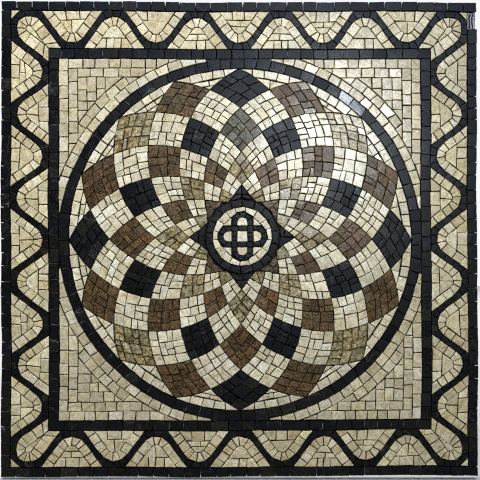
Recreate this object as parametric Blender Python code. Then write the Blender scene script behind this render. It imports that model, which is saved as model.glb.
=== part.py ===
"""Square floor-or-wall mosaic panel of hand-cut marble laid on a glass-fibre mesh.

The panel hangs upright: X to the right, Z up, the stones face -Y and the back
of the mesh lies in the plane y = 0 with the origin at its centre.

From the outside in: a black border course, a cream band crossed by a black
wave that rounds every corner, a black inner square, four cream corner fields,
a black circle, a sixteen-fold rosette drawn by sixteen equal circles, an
eight-pointed star, and a roundel with two interlaced loops.

All lengths below are millimetres; MM turns them into metres.
"""

import math

import bmesh
import bpy

MM = 0.001

# ---- driving sizes -------------------------------------------------------
PANEL_HALF = 250.0  # half of the panel's side
COURSE = 10.0  # width of the two black square courses
BAND_OUT = PANEL_HALF - COURSE  # outer border's inner edge
INNER_OUT = 200.4  # inner border's outer edge, half side
INNER_IN = INNER_OUT - COURSE  # inner border's inner edge, half side
GAP = 0.3  # clearance between neighbouring pieces

MESH_HALF = 249.0
MESH_THICK = 1.2  # glass-fibre mesh with its adhesive
STONE_THICK = 10.0
STONE_BACK = -(MESH_THICK + GAP)
STONE_FRONT = STONE_BACK - STONE_THICK

# the black wave: equal arcs at crest and trough joined by straight flanks
WAVE_PERIOD = 87.9
WAVE_WIDTH = 5.6
WAVE_RADIUS = 19.2  # centre line radius at a crest or a trough
WAVE_CORNER = 13.0  # centre line radius where it rounds the panel's corner
CREST = BAND_OUT - GAP - WAVE_WIDTH / 2
TROUGH = INNER_OUT + GAP + WAVE_WIDTH / 2
ARC_STEPS = 4  # segments of one crest or trough arc
LOBE_TIP = 1.0  # a cream lobe stops where it would be thinner than this

# one border tessera is lost at the right, just under the top course
LOST_TOP = BAND_OUT
LOST_BOTTOM = 222.0

CIRCLE_OUT = INNER_IN - GAP
CIRCLE_IN = 180.3
CIRCLE_STEPS = 64
FIELD_TIP = 1.5

# rosette: 16 circles of radius GUIDE_R, centred on a circle of radius GUIDE_C
SPOKES = 16
GUIDE_C = 91.2
GUIDE_R = 115.5
ROSETTE_OUT = CIRCLE_IN - GAP
JOINT = 0.45  # half of the open joint between two cells
JOINT_DEPTH = 0.8

STAR_RING_OUT = 39.0
STAR_RING_IN = 31.6
ROUNDEL_OUT = STAR_RING_IN - GAP
RIM_IN = 26.4  # inner edge of the roundel's cream rim
LOOP_HALF = 26.0  # half length of a loop over its outside
LOOP_WIDE = 11.25  # half width of a loop over its outside
LOOP_LINE = 5.7  # width of the loop's line
RELIEF_GAP = 0.4

HALF_STEP = math.radians(180.0 / SPOKES)


# ---- materials -----------------------------------------------------------
def marble(name, colour, roughness):
    material = bpy.data.materials.new(name)
    material.use_nodes = True
    shader = material.node_tree.nodes["Principled BSDF"]
    shader.inputs["Base Color"].default_value = (*colour, 1.0)
    shader.inputs["Roughness"].default_value = roughness
    shader.inputs["Metallic"].default_value = 0.0
    material.diffuse_color = (*colour, 1.0)
    return material


BLACK = marble("black_marble", (0.012, 0.012, 0.014), 0.35)
CREAM = marble("cream_limestone", (0.60, 0.52, 0.36), 0.5)
MIXED = marble("rosette_marbles", (0.30, 0.24, 0.15), 0.45)
STAR = marble("star_marbles", (0.03, 0.027, 0.025), 0.4)
ROUND = marble("roundel_marbles", (0.45, 0.40, 0.30), 0.45)
MESH = marble("glass_mesh", (0.62, 0.62, 0.60), 0.85)


# ---- solids --------------------------------------------------------------
def new_object(name, bm, material):
    bmesh.ops.recalc_face_normals(bm, faces=bm.faces)
    mesh = bpy.data.meshes.new(name)
    bm.to_mesh(mesh)
    bm.free()
    mesh.materials.append(material)
    obj = bpy.data.objects.new(name, mesh)
    bpy.context.scene.collection.objects.link(obj)
    return obj


def stone_faces(bm, outlines, y=STONE_FRONT):
    """Flat faces in the plane y, one per outline of (x, z) points; equal
    points are shared, so neighbouring outlines stay joined."""
    known = {}

    def vertex(point):
        key = (round(point[0], 4), round(point[1], 4))
        if key not in known:
            known[key] = bm.verts.new((point[0] * MM, y * MM, point[1] * MM))
        return known[key]

    return [bm.faces.new([vertex(p) for p in outline]) for outline in outlines]


def thicken(bm, faces, depth):
    """Extrudes the flat faces towards the back by depth and closes them."""
    extruded = bmesh.ops.extrude_face_region(
        bm, geom=faces, use_keep_orig=True
    )
    moved = [v for v in extruded["geom"] if isinstance(v, bmesh.types.BMVert)]
    bmesh.ops.translate(bm, vec=(0.0, depth * MM, 0.0), verts=moved)


def slab(name, outlines, material, back=STONE_BACK, front=STONE_FRONT):
    bm = bmesh.new()
    faces = stone_faces(bm, outlines, front)
    thicken(bm, faces, back - front)
    return new_object(name, bm, material)


def joined_cells(name, outlines, material):
    """Cells of stone that touch, each one raised between open joints."""
    bm = bmesh.new()
    faces = stone_faces(bm, outlines, STONE_FRONT + JOINT_DEPTH)
    thicken(bm, faces, STONE_BACK - STONE_FRONT - JOINT_DEPTH)
    bmesh.ops.recalc_face_normals(bm, faces=bm.faces)
    front = [
        f
        for f in bm.faces
        if f.normal.y < -0.5
        and f.calc_center_median().y < (STONE_FRONT + STONE_BACK) / 2 * MM
    ]
    bmesh.ops.inset_individual(
        bm,
        faces=front,
        thickness=JOINT * MM,
        depth=JOINT_DEPTH * MM,
        use_even_offset=True,
    )
    return new_object(name, bm, material)


def ring_outlines(outer, inner):
    """Quads between two closed loops of equally many points."""
    count = len(outer)
    return [
        [outer[i], outer[(i + 1) % count], inner[(i + 1) % count], inner[i]]
        for i in range(count)
    ]


def polar(radius, angle):
    """Angle from straight up, turning clockwise as seen from the front."""
    return (radius * math.sin(angle), radius * math.cos(angle))


def circle(radius, steps=CIRCLE_STEPS):
    return [polar(radius, math.tau * i / steps) for i in range(steps)]


def square(half):
    return [(-half, half), (half, half), (half, -half), (-half, -half)]


# ---- the wave ------------------------------------------------------------
# Side coordinates: s along the side, v outwards from the panel's centre.
def turned(point, side):
    """From side coordinates to (x, z): sides 0 top, 1 right, 2 bottom, 3 left."""
    s, v = point
    return [(s, v), (v, -s), (-s, -v), (-v, s)][side]


CREST_CENTRE = CREST - WAVE_RADIUS
TROUGH_CENTRE = TROUGH + WAVE_RADIUS
CORNER_CENTRE = CREST - WAVE_CORNER
RISE = TROUGH_CENTRE - CREST_CENTRE
FLANK = math.asin(
    2 * WAVE_RADIUS / math.hypot(WAVE_PERIOD / 2, RISE)
) - math.atan2(RISE, WAVE_PERIOD / 2)


def peak(k, offset, part=0):
    """Points beside peak k of a side, offset outwards from the centre line.
    Odd k are crests, even k troughs; part -1 or 1 keeps one half of the arc."""
    centre = k * WAVE_PERIOD / 2
    points = []
    for i in range(ARC_STEPS + 1):
        turn = FLANK * (2 * i / ARC_STEPS - 1)
        if part * turn < 0:
            continue
        if k % 2:
            r = WAVE_RADIUS + offset
            points.append(
                (centre + r * math.sin(turn), CREST_CENTRE + r * math.cos(turn))
            )
        else:
            r = WAVE_RADIUS - offset
            points.append(
                (centre + r * math.sin(turn), TROUGH_CENTRE - r * math.cos(turn))
            )
    return points


def corner_arc(offset, first=0.0, last=90.0, steps=ARC_STEPS):
    """Points round the corner at the side's far end."""
    r = WAVE_CORNER + offset
    points = []
    for i in range(steps + 1):
        a = math.radians(first + (last - first) * i / steps)
        points.append(
            (CORNER_CENTRE + r * math.sin(a), CORNER_CENTRE + r * math.cos(a))
        )
    return points


def wave_loop(offset):
    loop = []
    for side in range(4):
        path = peak(-5, offset, part=1)
        for k in range(-4, 5):
            path += peak(k, offset)
        path += peak(5, offset, part=-1)
        path += corner_arc(offset)
        loop += [turned(p, side) for p in path]
    return loop


def trimmed(path, limit, tip):
    """Cuts both ends of a path where it comes nearer than tip to the line
    v = limit, and closes it along that line."""

    def clear(point):
        return abs(limit - point[1]) - tip

    first = next(i for i, p in enumerate(path) if clear(p) > 0)
    last = next(
        i for i in range(len(path) - 1, -1, -1) if clear(path[i]) > 0
    )

    def crossing(near, far):
        t = clear(far) / (clear(far) - clear(near))
        return (
            far[0] + (near[0] - far[0]) * t,
            far[1] + (near[1] - far[1]) * t,
        )

    points = path[first : last + 1]
    if first:
        points.insert(0, crossing(path[first - 1], path[first]))
    if last < len(path) - 1:
        points.append(crossing(path[last + 1], path[last]))
    return [(points[0][0], limit), *points, (points[-1][0], limit)]


BESIDE = WAVE_WIDTH / 2 + GAP


def outer_lobe(k):
    path = peak(k - 1, BESIDE, part=1) + peak(k, BESIDE)
    path += peak(k + 1, BESIDE, part=-1)
    return trimmed(path, BAND_OUT - GAP, LOBE_TIP)


def inner_lobe(k):
    path = peak(k - 1, -BESIDE, part=1) + peak(k, -BESIDE)
    path += peak(k + 1, -BESIDE, part=-1)
    return trimmed(path, INNER_OUT + GAP, LOBE_TIP)


def corner_lobe():
    half = peak(4, -BESIDE, part=1) + peak(5, -BESIDE, part=-1)
    half += corner_arc(-BESIDE, 0.0, 45.0, 2)
    line = INNER_OUT + GAP
    first = trimmed(half, line, LOBE_TIP)[:-1]
    mirrored = [(v, s) for s, v in reversed(first)]
    return first + mirrored[1:] + [(line, line)]


def corner_tip():
    edge = BAND_OUT - GAP
    arc = corner_arc(BESIDE, 0.0, 45.0, 2)
    start = trimmed(arc, edge, LOBE_TIP * 0.8)[:-1]
    mirrored = [(v, s) for s, v in reversed(start)]
    return start + mirrored[1:] + [(edge, edge)]


# ---- the rosette ---------------------------------------------------------
def node_radius(m):
    """Radius where two guide circles cross whose centres lie m half steps
    either side; a fraction gives a point on the arc between two nodes."""
    a = m * HALF_STEP
    return GUIDE_C * math.cos(a) + math.sqrt(
        GUIDE_R**2 - (GUIDE_C * math.sin(a)) ** 2
    )


def node(m, spoke):
    """Node m on the ray spoke, which counts half steps."""
    radius = ROSETTE_OUT if m == 3 else node_radius(m)
    return polar(radius, spoke * HALF_STEP)


def arm(m, spoke, way):
    """Half way along the arc from node m on spoke inwards to node m + 1."""
    radius = node_radius(m + 0.5)
    return polar(radius, (spoke + 0.5 * way) * HALF_STEP)


def cell(m, spoke):
    """Curved diamond with its outer tip at node m on the ray spoke."""
    return [
        node(m, spoke),
        arm(m, spoke, 1),
        node(m + 1, spoke + 1),
        arm(m + 1, spoke + 1, -1),
        node(m + 2, spoke),
        arm(m + 1, spoke - 1, 1),
        node(m + 1, spoke - 1),
        arm(m, spoke, -1),
    ]


def lunette(spoke):
    """Between the circle and the flanks of two outer cells."""
    return [
        node(3, spoke),
        polar(ROSETTE_OUT, (spoke + 0.5) * HALF_STEP),
        polar(ROSETTE_OUT, (spoke + 1.0) * HALF_STEP),
        polar(ROSETTE_OUT, (spoke + 1.5) * HALF_STEP),
        node(3, spoke + 2),
        arm(3, spoke + 2, -1),
        node(4, spoke + 1),
        arm(3, spoke, 1),
    ]


def inner_cell(spoke):
    """Small cell between two star points, stopped by the star's ring."""
    return [
        node(9, spoke),
        arm(9, spoke, 1),
        node(10, spoke + 1),
        polar(STAR_RING_OUT, spoke * HALF_STEP),
        node(10, spoke - 1),
        arm(9, spoke, -1),
    ]


def rosette_outlines():
    outlines = []
    for spoke in range(0, 2 * SPOKES, 2):
        outlines.append(lunette(spoke))
        for m in (3, 5, 7):
            outlines.append(cell(m, spoke))
        for m in (4, 6, 8):
            outlines.append(cell(m, spoke + 1))
    for spoke in range(2, 2 * SPOKES, 4):
        outlines.append(inner_cell(spoke))
    return outlines


def shrunk(point, distance):
    radius = math.hypot(*point)
    scale = (radius - distance) / radius
    return (point[0] * scale, point[1] * scale)


def star_outlines():
    """Eight points with the ring that carries them; every outer point is
    drawn in by the clearance to the rosette."""
    outlines = []
    for spoke in range(0, 2 * SPOKES, 4):
        ring = [
            polar(STAR_RING_OUT - GAP, (spoke + i) * HALF_STEP)
            for i in (2, 1, 0, -1, -2)
        ]
        inside = [
            polar(STAR_RING_IN, (spoke + i) * HALF_STEP)
            for i in (2, 1, 0, -1, -2)
        ]
        point = [
            shrunk(node(9, spoke), 2 * GAP),
            shrunk(arm(9, spoke, 1), 1.4 * GAP),
            shrunk(node(10, spoke + 1), 1.4 * GAP),
        ]
        left = [
            shrunk(node(10, spoke - 1), 1.4 * GAP),
            shrunk(arm(9, spoke, -1), 1.4 * GAP),
        ]
        outlines.append(point + ring + left)
        outlines.append(ring + inside[::-1])
    return outlines


# ---- the roundel ---------------------------------------------------------
def stadium(half, wide, upright, steps=8):
    """Closed outline of a loop: straight sides and half-round ends."""
    points = []
    for end in (0, 1):
        for i in range(steps + 1):
            a = math.pi * (end + i / steps) - math.pi / 2
            shift = (half - wide) * (1 if end == 0 else -1)
            points.append((shift + wide * math.cos(a), wide * math.sin(a)))
    return [(-z, x) for x, z in points] if upright else points


def loop_end(quarter, steps=6):
    """Cream piece inside a loop's round end."""
    wide = LOOP_WIDE - LOOP_LINE - RELIEF_GAP
    half = LOOP_HALF - LOOP_LINE - RELIEF_GAP
    flat = LOOP_WIDE + RELIEF_GAP
    points = [(flat, -wide), (flat, wide)]
    for i in range(steps + 1):
        a = math.pi / 2 - math.pi * i / steps
        points.append((half - wide + wide * math.cos(a), wide * math.sin(a)))
    c, s = [(1, 0), (0, 1), (-1, 0), (0, -1)][quarter]
    return [(c * x - s * z, s * x + c * z) for x, z in points]


def diagonal_piece(quarter, steps=3):
    """Cream piece between both loops and the rim."""
    near = LOOP_WIDE + RELIEF_GAP
    far = RIM_IN - RELIEF_GAP
    first = math.asin(near / far) + math.radians(6)
    points = [(near, near)]
    for i in range(steps + 1):
        a = first + (math.pi / 2 - 2 * first) * i / steps
        points.append((far * math.cos(a), far * math.sin(a)))
    c, s = [(1, 0), (0, 1), (-1, 0), (0, -1)][quarter]
    return [(c * x - s * z, s * x + c * z) for x, z in points]


def raised(name, outlines):
    return slab(
        name,
        outlines,
        ROUND,
        back=STONE_FRONT + JOINT_DEPTH + 1.0,
        front=STONE_FRONT,
    )


def join_to(base, other):
    modifier = base.modifiers.new("join_" + other.name, "BOOLEAN")
    modifier.operation = "UNION"
    modifier.solver = "EXACT"
    modifier.object = other
    other.hide_render = True
    other.display_type = "WIRE"


def roundel():
    bm = bmesh.new()
    faces = stone_faces(
        bm, [circle(ROUNDEL_OUT, 48)], STONE_FRONT + JOINT_DEPTH
    )
    thicken(bm, faces, STONE_BACK - STONE_FRONT - JOINT_DEPTH)
    base = new_object("centre_roundel", bm, ROUND)

    rim = raised(
        "guide_rim",
        ring_outlines(
            circle(ROUNDEL_OUT - RELIEF_GAP, 48),
            circle(RIM_IN + RELIEF_GAP, 48),
        ),
    )
    join_to(base, rim)
    for upright in (False, True):
        loop = raised(
            f"guide_loop_{int(upright)}",
            ring_outlines(
                stadium(LOOP_HALF, LOOP_WIDE, upright),
                stadium(
                    LOOP_HALF - LOOP_LINE, LOOP_WIDE - LOOP_LINE, upright
                ),
            ),
        )
        join_to(base, loop)
    for quarter in range(4):
        join_to(base, raised(f"guide_end_{quarter}", [loop_end(quarter)]))
        join_to(
            base, raised(f"guide_diagonal_{quarter}", [diagonal_piece(quarter)])
        )
    half = LOOP_WIDE - LOOP_LINE - RELIEF_GAP
    join_to(base, raised("guide_middle", [square(half)]))


# ---- the whole panel -----------------------------------------------------
SIDES = ("top", "right", "bottom", "left")
CORNERS = ("top_right", "bottom_right", "bottom_left", "top_left")


def corner_field():
    """Cream field between the inner border's corner and the circle."""
    radius = CIRCLE_OUT + GAP
    edge = INNER_IN - GAP
    quarter = CIRCLE_STEPS // 4
    arc = [
        polar(radius, math.tau * i / CIRCLE_STEPS) for i in range(quarter + 1)
    ]
    first = next(i for i, p in enumerate(arc) if edge - p[1] > FIELD_TIP)
    t = (edge - FIELD_TIP - arc[first][1]) / (
        arc[first - 1][1] - arc[first][1]
    )
    start = (
        arc[first][0] + (arc[first - 1][0] - arc[first][0]) * t,
        edge - FIELD_TIP,
    )
    middle = arc[first : quarter + 1 - first]
    return [
        (start[0], edge),
        start,
        *middle,
        (start[1], start[0]),
        (edge, start[0]),
        (edge, edge),
    ]


def build():
    slab(
        "mesh_backing",
        [square(MESH_HALF)],
        MESH,
        back=0.0,
        front=-MESH_THICK,
    )
    p, b = PANEL_HALF, BAND_OUT
    slab(
        "outer_border",
        [
            [
                (p, LOST_TOP),
                (p, p),
                (-p, p),
                (-p, -p),
                (p, -p),
                (p, LOST_BOTTOM),
                (b, LOST_BOTTOM),
                (b, -b),
                (-b, -b),
                (-b, b),
                (b, LOST_TOP),
            ]
        ],
        BLACK,
    )
    slab(
        "wave_line",
        ring_outlines(wave_loop(WAVE_WIDTH / 2), wave_loop(-WAVE_WIDTH / 2)),
        BLACK,
    )
    slab(
        "inner_border",
        ring_outlines(square(INNER_OUT), square(INNER_IN)),
        BLACK,
    )
    for side, side_name in enumerate(SIDES):
        for n, k in enumerate((-4, -2, 0, 2, 4), 1):
            outline = [turned(q, side) for q in outer_lobe(k)]
            slab(f"{side_name}_outer_lobe_{n}", [outline], CREAM)
        for n, k in enumerate((-3, -1, 1, 3), 1):
            outline = [turned(q, side) for q in inner_lobe(k)]
            slab(f"{side_name}_inner_lobe_{n}", [outline], CREAM)
        name = CORNERS[side]
        slab(
            f"{name}_corner_lobe",
            [[turned(q, side) for q in corner_lobe()]],
            CREAM,
        )
        slab(
            f"{name}_corner_tip",
            [[turned(q, side) for q in corner_tip()]],
            CREAM,
        )
        slab(
            f"{name}_corner_field",
            [[turned(q, side) for q in corner_field()]],
            CREAM,
        )
    slab(
        "circle_band",
        ring_outlines(circle(CIRCLE_OUT), circle(CIRCLE_IN)),
        BLACK,
    )
    joined_cells("rosette_field", rosette_outlines(), MIXED)
    joined_cells("centre_star", star_outlines(), STAR)
    roundel()


for old in list(bpy.data.objects):
    bpy.data.objects.remove(old, do_unlink=True)
build()
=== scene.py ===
"""Looks of the marble mosaic panel: every hand-cut tessera as its own solid,
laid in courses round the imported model's outlines, on its glass-fibre mesh.

X runs to the right, Z up and the stones face -Y. The layout is worked out in
millimetres in the (x, z) plane and turned into metres when it is meshed.
"""

import math
import random

import bmesh
import bpy
import numpy as np
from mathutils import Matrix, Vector


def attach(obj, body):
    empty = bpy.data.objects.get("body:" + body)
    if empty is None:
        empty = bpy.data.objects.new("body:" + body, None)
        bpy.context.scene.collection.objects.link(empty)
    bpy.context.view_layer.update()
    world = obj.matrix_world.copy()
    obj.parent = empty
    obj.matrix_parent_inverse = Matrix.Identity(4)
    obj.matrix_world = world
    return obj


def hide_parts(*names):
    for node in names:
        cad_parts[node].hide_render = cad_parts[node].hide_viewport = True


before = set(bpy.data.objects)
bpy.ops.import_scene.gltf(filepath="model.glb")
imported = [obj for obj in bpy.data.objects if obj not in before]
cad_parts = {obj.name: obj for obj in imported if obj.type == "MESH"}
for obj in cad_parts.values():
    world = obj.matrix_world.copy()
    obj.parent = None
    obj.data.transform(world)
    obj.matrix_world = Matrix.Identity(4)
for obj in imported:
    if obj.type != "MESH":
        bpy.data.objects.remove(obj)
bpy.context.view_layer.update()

MM = 0.001

# ---- the panel's sizes, as in the model ------------------------------------
PANEL_HALF = 250.0
COURSE = 10.0
BAND_OUT = PANEL_HALF - COURSE
INNER_OUT = 200.4
INNER_IN = INNER_OUT - COURSE
GAP = 0.3
MESH_HALF = 249.0
STONE_BACK = -1.5
STONE_FRONT = -11.5
WAVE_PERIOD = 87.9
WAVE_HALF = 2.8
WAVE_RADIUS = 19.2
WAVE_CORNER = 13.0
CREST = BAND_OUT - GAP - WAVE_HALF
TROUGH = INNER_OUT + GAP + WAVE_HALF
CREST_CENTRE = CREST - WAVE_RADIUS
TROUGH_CENTRE = TROUGH + WAVE_RADIUS
CORNER_CENTRE = CREST - WAVE_CORNER
RISE = TROUGH_CENTRE - CREST_CENTRE
FLANK = math.asin(
    2 * WAVE_RADIUS / math.hypot(WAVE_PERIOD / 2, RISE)
) - math.atan2(RISE, WAVE_PERIOD / 2)
LOST_TOP = BAND_OUT
LOST_BOTTOM = 222.0
CIRCLE_OUT = INNER_IN - GAP
CIRCLE_IN = 180.3
ROSETTE_OUT = CIRCLE_IN - GAP
GUIDE_C = 91.2
GUIDE_R = 115.5
SPOKES = 16
HALF_STEP = math.radians(180.0 / SPOKES)
STAR_RING_OUT = 39.0
STAR_RING_IN = 31.6
RIM_OUT = STAR_RING_IN - GAP
RIM_IN = 26.4
LOOP_HALF = 26.0
LOOP_WIDE = 11.25
LOOP_LINE = 5.7

SIDES = ("top", "right", "bottom", "left")
CORNERS = ("top_right", "bottom_right", "bottom_left", "top_left")


# ---- plane geometry ---------------------------------------------------------
def area(poly):
    total = 0.0
    for (x0, z0), (x1, z1) in zip(poly, poly[1:] + poly[:1]):
        total += x0 * z1 - x1 * z0
    return total / 2


def middle(poly):
    return (
        sum(p[0] for p in poly) / len(poly),
        sum(p[1] for p in poly) / len(poly),
    )


def cut(poly, point, normal):
    """The part of a convex polygon on the side of a line that normal shows."""
    kept = []
    dist = [
        (p[0] - point[0]) * normal[0] + (p[1] - point[1]) * normal[1]
        for p in poly
    ]
    for i, p in enumerate(poly):
        q, d, e = poly[i - 1], dist[i], dist[i - 1]
        if (d >= 0) != (e >= 0):
            t = e / (e - d)
            kept.append((q[0] + (p[0] - q[0]) * t, q[1] + (p[1] - q[1]) * t))
        if d >= 0:
            kept.append(p)
    return tidy(kept)


def tidy(poly, near=0.05):
    """Drops points that fall on top of their neighbour."""
    out = []
    for p in poly:
        if not out or math.dist(p, out[-1]) > near:
            out.append(p)
    while len(out) > 1 and math.dist(out[0], out[-1]) <= near:
        out.pop()
    return out if len(out) > 2 else []


def halved(poly, point, normal):
    return (
        cut(poly, point, normal),
        cut(poly, point, (-normal[0], -normal[1])),
    )


def outside(poly, centre, radius):
    """Trims a small polygon with the tangent of a circle it lies beside."""
    left = poly
    for _ in range(3):
        if len(left) < 3:
            return []
        aim = middle(left)
        d = math.dist(aim, centre)
        u = ((aim[0] - centre[0]) / d, (aim[1] - centre[1]) / d)
        foot = (centre[0] + u[0] * radius, centre[1] + u[1] * radius)
        left = cut(poly, foot, u)
    return left


def inset(poly, gaps):
    """Draws every edge of a convex polygon in; an edge has one gap at each
    end, so that a joint can open or close along its length."""
    out = list(poly)
    sign = 1 if area(poly) > 0 else -1
    for i, p in enumerate(poly):
        q = poly[(i + 1) % len(poly)]
        dx, dz = q[0] - p[0], q[1] - p[1]
        length = math.hypot(dx, dz)
        if length < 1e-6:
            continue
        n = (-dz / length * sign, dx / length * sign)
        a, b = gaps(length)
        pa = (p[0] + n[0] * a, p[1] + n[1] * a)
        pb = (q[0] + n[0] * b, q[1] + n[1] * b)
        ex, ez = pb[0] - pa[0], pb[1] - pa[1]
        e = math.hypot(ex, ez)
        out = cut(out, pa, (-ez / e * sign, ex / e * sign))
        if not out:
            return []
    return out


def narrowest(poly):
    """Least width of a convex polygon."""
    best = 1e9
    for i, p in enumerate(poly):
        q = poly[(i + 1) % len(poly)]
        length = math.dist(p, q)
        if length < 1e-6:
            continue
        nx, nz = -(q[1] - p[1]) / length, (q[0] - p[0]) / length
        best = min(
            best,
            max(abs((r[0] - p[0]) * nx + (r[1] - p[1]) * nz) for r in poly),
        )
    return best


def polar(radius, angle):
    return (radius * math.sin(angle), radius * math.cos(angle))


def turned(point, side):
    s, v = point
    return [(s, v), (v, -s), (-s, -v), (-v, s)][side]


def stops(length, low, high, rng):
    """Where the joints of a course fall, both ends included."""
    count = max(1, round(length / ((low + high) / 2)))
    sizes = [rng.uniform(low, high) for _ in range(count)]
    scale = length / sum(sizes)
    at = [0.0]
    for size in sizes:
        at.append(at[-1] + size * scale)
    return at


def shatter(poly, size, rng, lean=0.07, least=3.6):
    """Breaks a convex polygon into hand-cut pieces about size across, with
    cuts nearly square to its longer side."""
    xs, zs = [p[0] for p in poly], [p[1] for p in poly]
    w, h = max(xs) - min(xs), max(zs) - min(zs)
    long = max(w, h)
    if long < size * rng.uniform(1.12, 1.6) or long < 2 * least:
        return [poly]
    t = rng.uniform(0.38, 0.62)
    if long > 2.6 * size and rng.random() < 0.5:
        t = rng.choice((0.3, 0.7)) + rng.uniform(-0.04, 0.04)
    tilt = rng.uniform(-lean, lean)
    if w >= h:
        point = (min(xs) + w * t, (min(zs) + max(zs)) / 2)
        normal = (math.cos(tilt), math.sin(tilt))
    else:
        point = ((min(xs) + max(xs)) / 2, min(zs) + h * t)
        normal = (math.sin(tilt), math.cos(tilt))
    out = []
    for part in halved(poly, point, normal):
        if part:
            out += shatter(part, size, rng, lean, least)
    return out


# ---- tesserae ---------------------------------------------------------------
TESSERAE = []  # (outline, stone, group, random source)
BLACK_JOINTS = []  # joint lines across the inner border and the circle band
JOINTS = {
    "cream": (0.34, 0.66, 0.14),
    "black": (0.10, 0.30, 0.40),
    "fine": (0.19, 0.46, 0.20),
    "border": (0.12, 0.36, 0.30),
    "top_border": (0.30, 0.62, 0.12),
}


def lay(poly, stone, group, rng, joint=None, least=3.0):
    """Adds one tessera, its edges drawn in by half a joint."""
    if len(poly) < 3 or abs(area(poly)) < least:
        return
    low, high, tight = JOINTS[joint or ("black" if stone != "cream" else "cream")]

    def gaps(length):
        if rng.random() < tight:
            return rng.uniform(0.06, 0.14), rng.uniform(0.06, 0.14)
        base = rng.uniform(low, high)
        slant = min(0.28, 0.022 * length) * rng.uniform(-1, 1)
        return max(0.07, base + slant), max(0.07, base - slant)

    shape = inset(poly, gaps)
    if len(shape) < 3 or abs(area(shape)) < least * 0.7 or narrowest(shape) < 0.9:
        return
    if area(shape) < 0:
        shape = shape[::-1]
    TESSERAE.append((shape, stone, group, rng.random()))


def slanted(at, low, high, rng, slip=0.7):
    """Joint ends across a course: position at its low edge and high edge."""
    return [
        (
            a + (rng.uniform(-slip, slip) if low < a < high else 0.0),
            a + (rng.uniform(-slip, slip) if low < a < high else 0.0),
        )
        for a in at
    ]


def straight_course(side, start, end, v_low, v_high, low, high, stone, group, rng, joint=None, skip=None):
    at = [start + a for a in stops(end - start, low, high, rng)]
    joints = slanted(at, start + 0.01, end - 0.01, rng)
    for (a0, b0), (a1, b1) in zip(joints, joints[1:]):
        quad = [(a0, v_low), (a1, v_low), (b1, v_high), (b0, v_high)]
        lay([turned(p, side) for p in quad], stone, group, rng, joint)
        if group.endswith("_square_stones") and a1 < end - 1.0:
            BLACK_JOINTS.append((turned((a1, v_low), side), turned((b1, v_high), side)))


def outer_border():
    for side in range(4):
        rng = random.Random(f"outer border {side}")
        group = f"{SIDES[side]}_border_stones"
        start, end = -PANEL_HALF, PANEL_HALF
        if side in (1, 3):
            start, end = -BAND_OUT, BAND_OUT
        if side == 1:
            start = -LOST_BOTTOM
        low, high = ((13.6, 18.2), (12.0, 16.6), (13.0, 18.0), (12.6, 17.0))[side]
        straight_course(side, start, end, BAND_OUT, PANEL_HALF, low, high, "black", group, rng, "border" if side else "top_border")


def inner_border():
    for side in range(4):
        rng = random.Random(f"inner border {side}")
        group = f"{SIDES[side]}_square_stones"
        reach = INNER_OUT if side in (0, 2) else INNER_IN
        straight_course(side, -reach, reach, INNER_IN, INNER_OUT, 12.0, 17.5, "black", group, rng)


# ---- the wave ---------------------------------------------------------------
def wave_side():
    """Centre line of one side of the wave as rows of (s, v, normal s,
    normal v), from the middle of one rounded corner to the next."""
    rows = []

    def arc(cs, cv, radius, first, last, up, steps):
        for i in range(steps + 1):
            a = first + (last - first) * i / steps
            n = (math.sin(a), math.cos(a)) if up else (-math.sin(a), math.cos(a))
            p = (cs + radius * math.sin(a), cv + radius * (math.cos(a) if up else -math.cos(a)))
            rows.append((*p, *n))

    arc(-CORNER_CENTRE, CORNER_CENTRE, WAVE_CORNER, -math.pi / 4, 0.0, True, 12)
    for k in range(-5, 6):
        first = 0.0 if k == -5 else -FLANK
        last = 0.0 if k == 5 else FLANK
        if k % 2:
            arc(k * WAVE_PERIOD / 2, CREST_CENTRE, WAVE_RADIUS, first, last, True, 20)
        else:
            arc(k * WAVE_PERIOD / 2, TROUGH_CENTRE, WAVE_RADIUS, first, last, False, 20)
    arc(CORNER_CENTRE, CORNER_CENTRE, WAVE_CORNER, 0.0, math.pi / 4, True, 12)
    return np.array(rows)


WAVE = wave_side()
WAVE_AT = np.concatenate(
    [[0.0], np.cumsum(np.hypot(*(np.diff(WAVE[:, :2], axis=0).T)))]
)


def on_wave(length, offset=0.0):
    s, v, ns, nv = (np.interp(length, WAVE_AT, WAVE[:, i]) for i in range(4))
    size = math.hypot(ns, nv)
    return (float(s + ns / size * offset), float(v + nv / size * offset))


def flank_cuts(k):
    """Lines along both flanks beside peak k, on the side where the wave
    touches a border, each as (point, normal towards the wave)."""
    up = 1 if k % 2 else -1
    centre = (k * WAVE_PERIOD / 2, CREST_CENTRE if k % 2 else TROUGH_CENTRE)
    lines = []
    for way in (-1, 1):
        n = (way * math.sin(FLANK), up * math.cos(FLANK))
        r = WAVE_RADIUS + WAVE_HALF
        lines.append(
            ((centre[0] + n[0] * r, centre[1] + n[1] * r), (-n[0], -n[1]))
        )
    return lines


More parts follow.
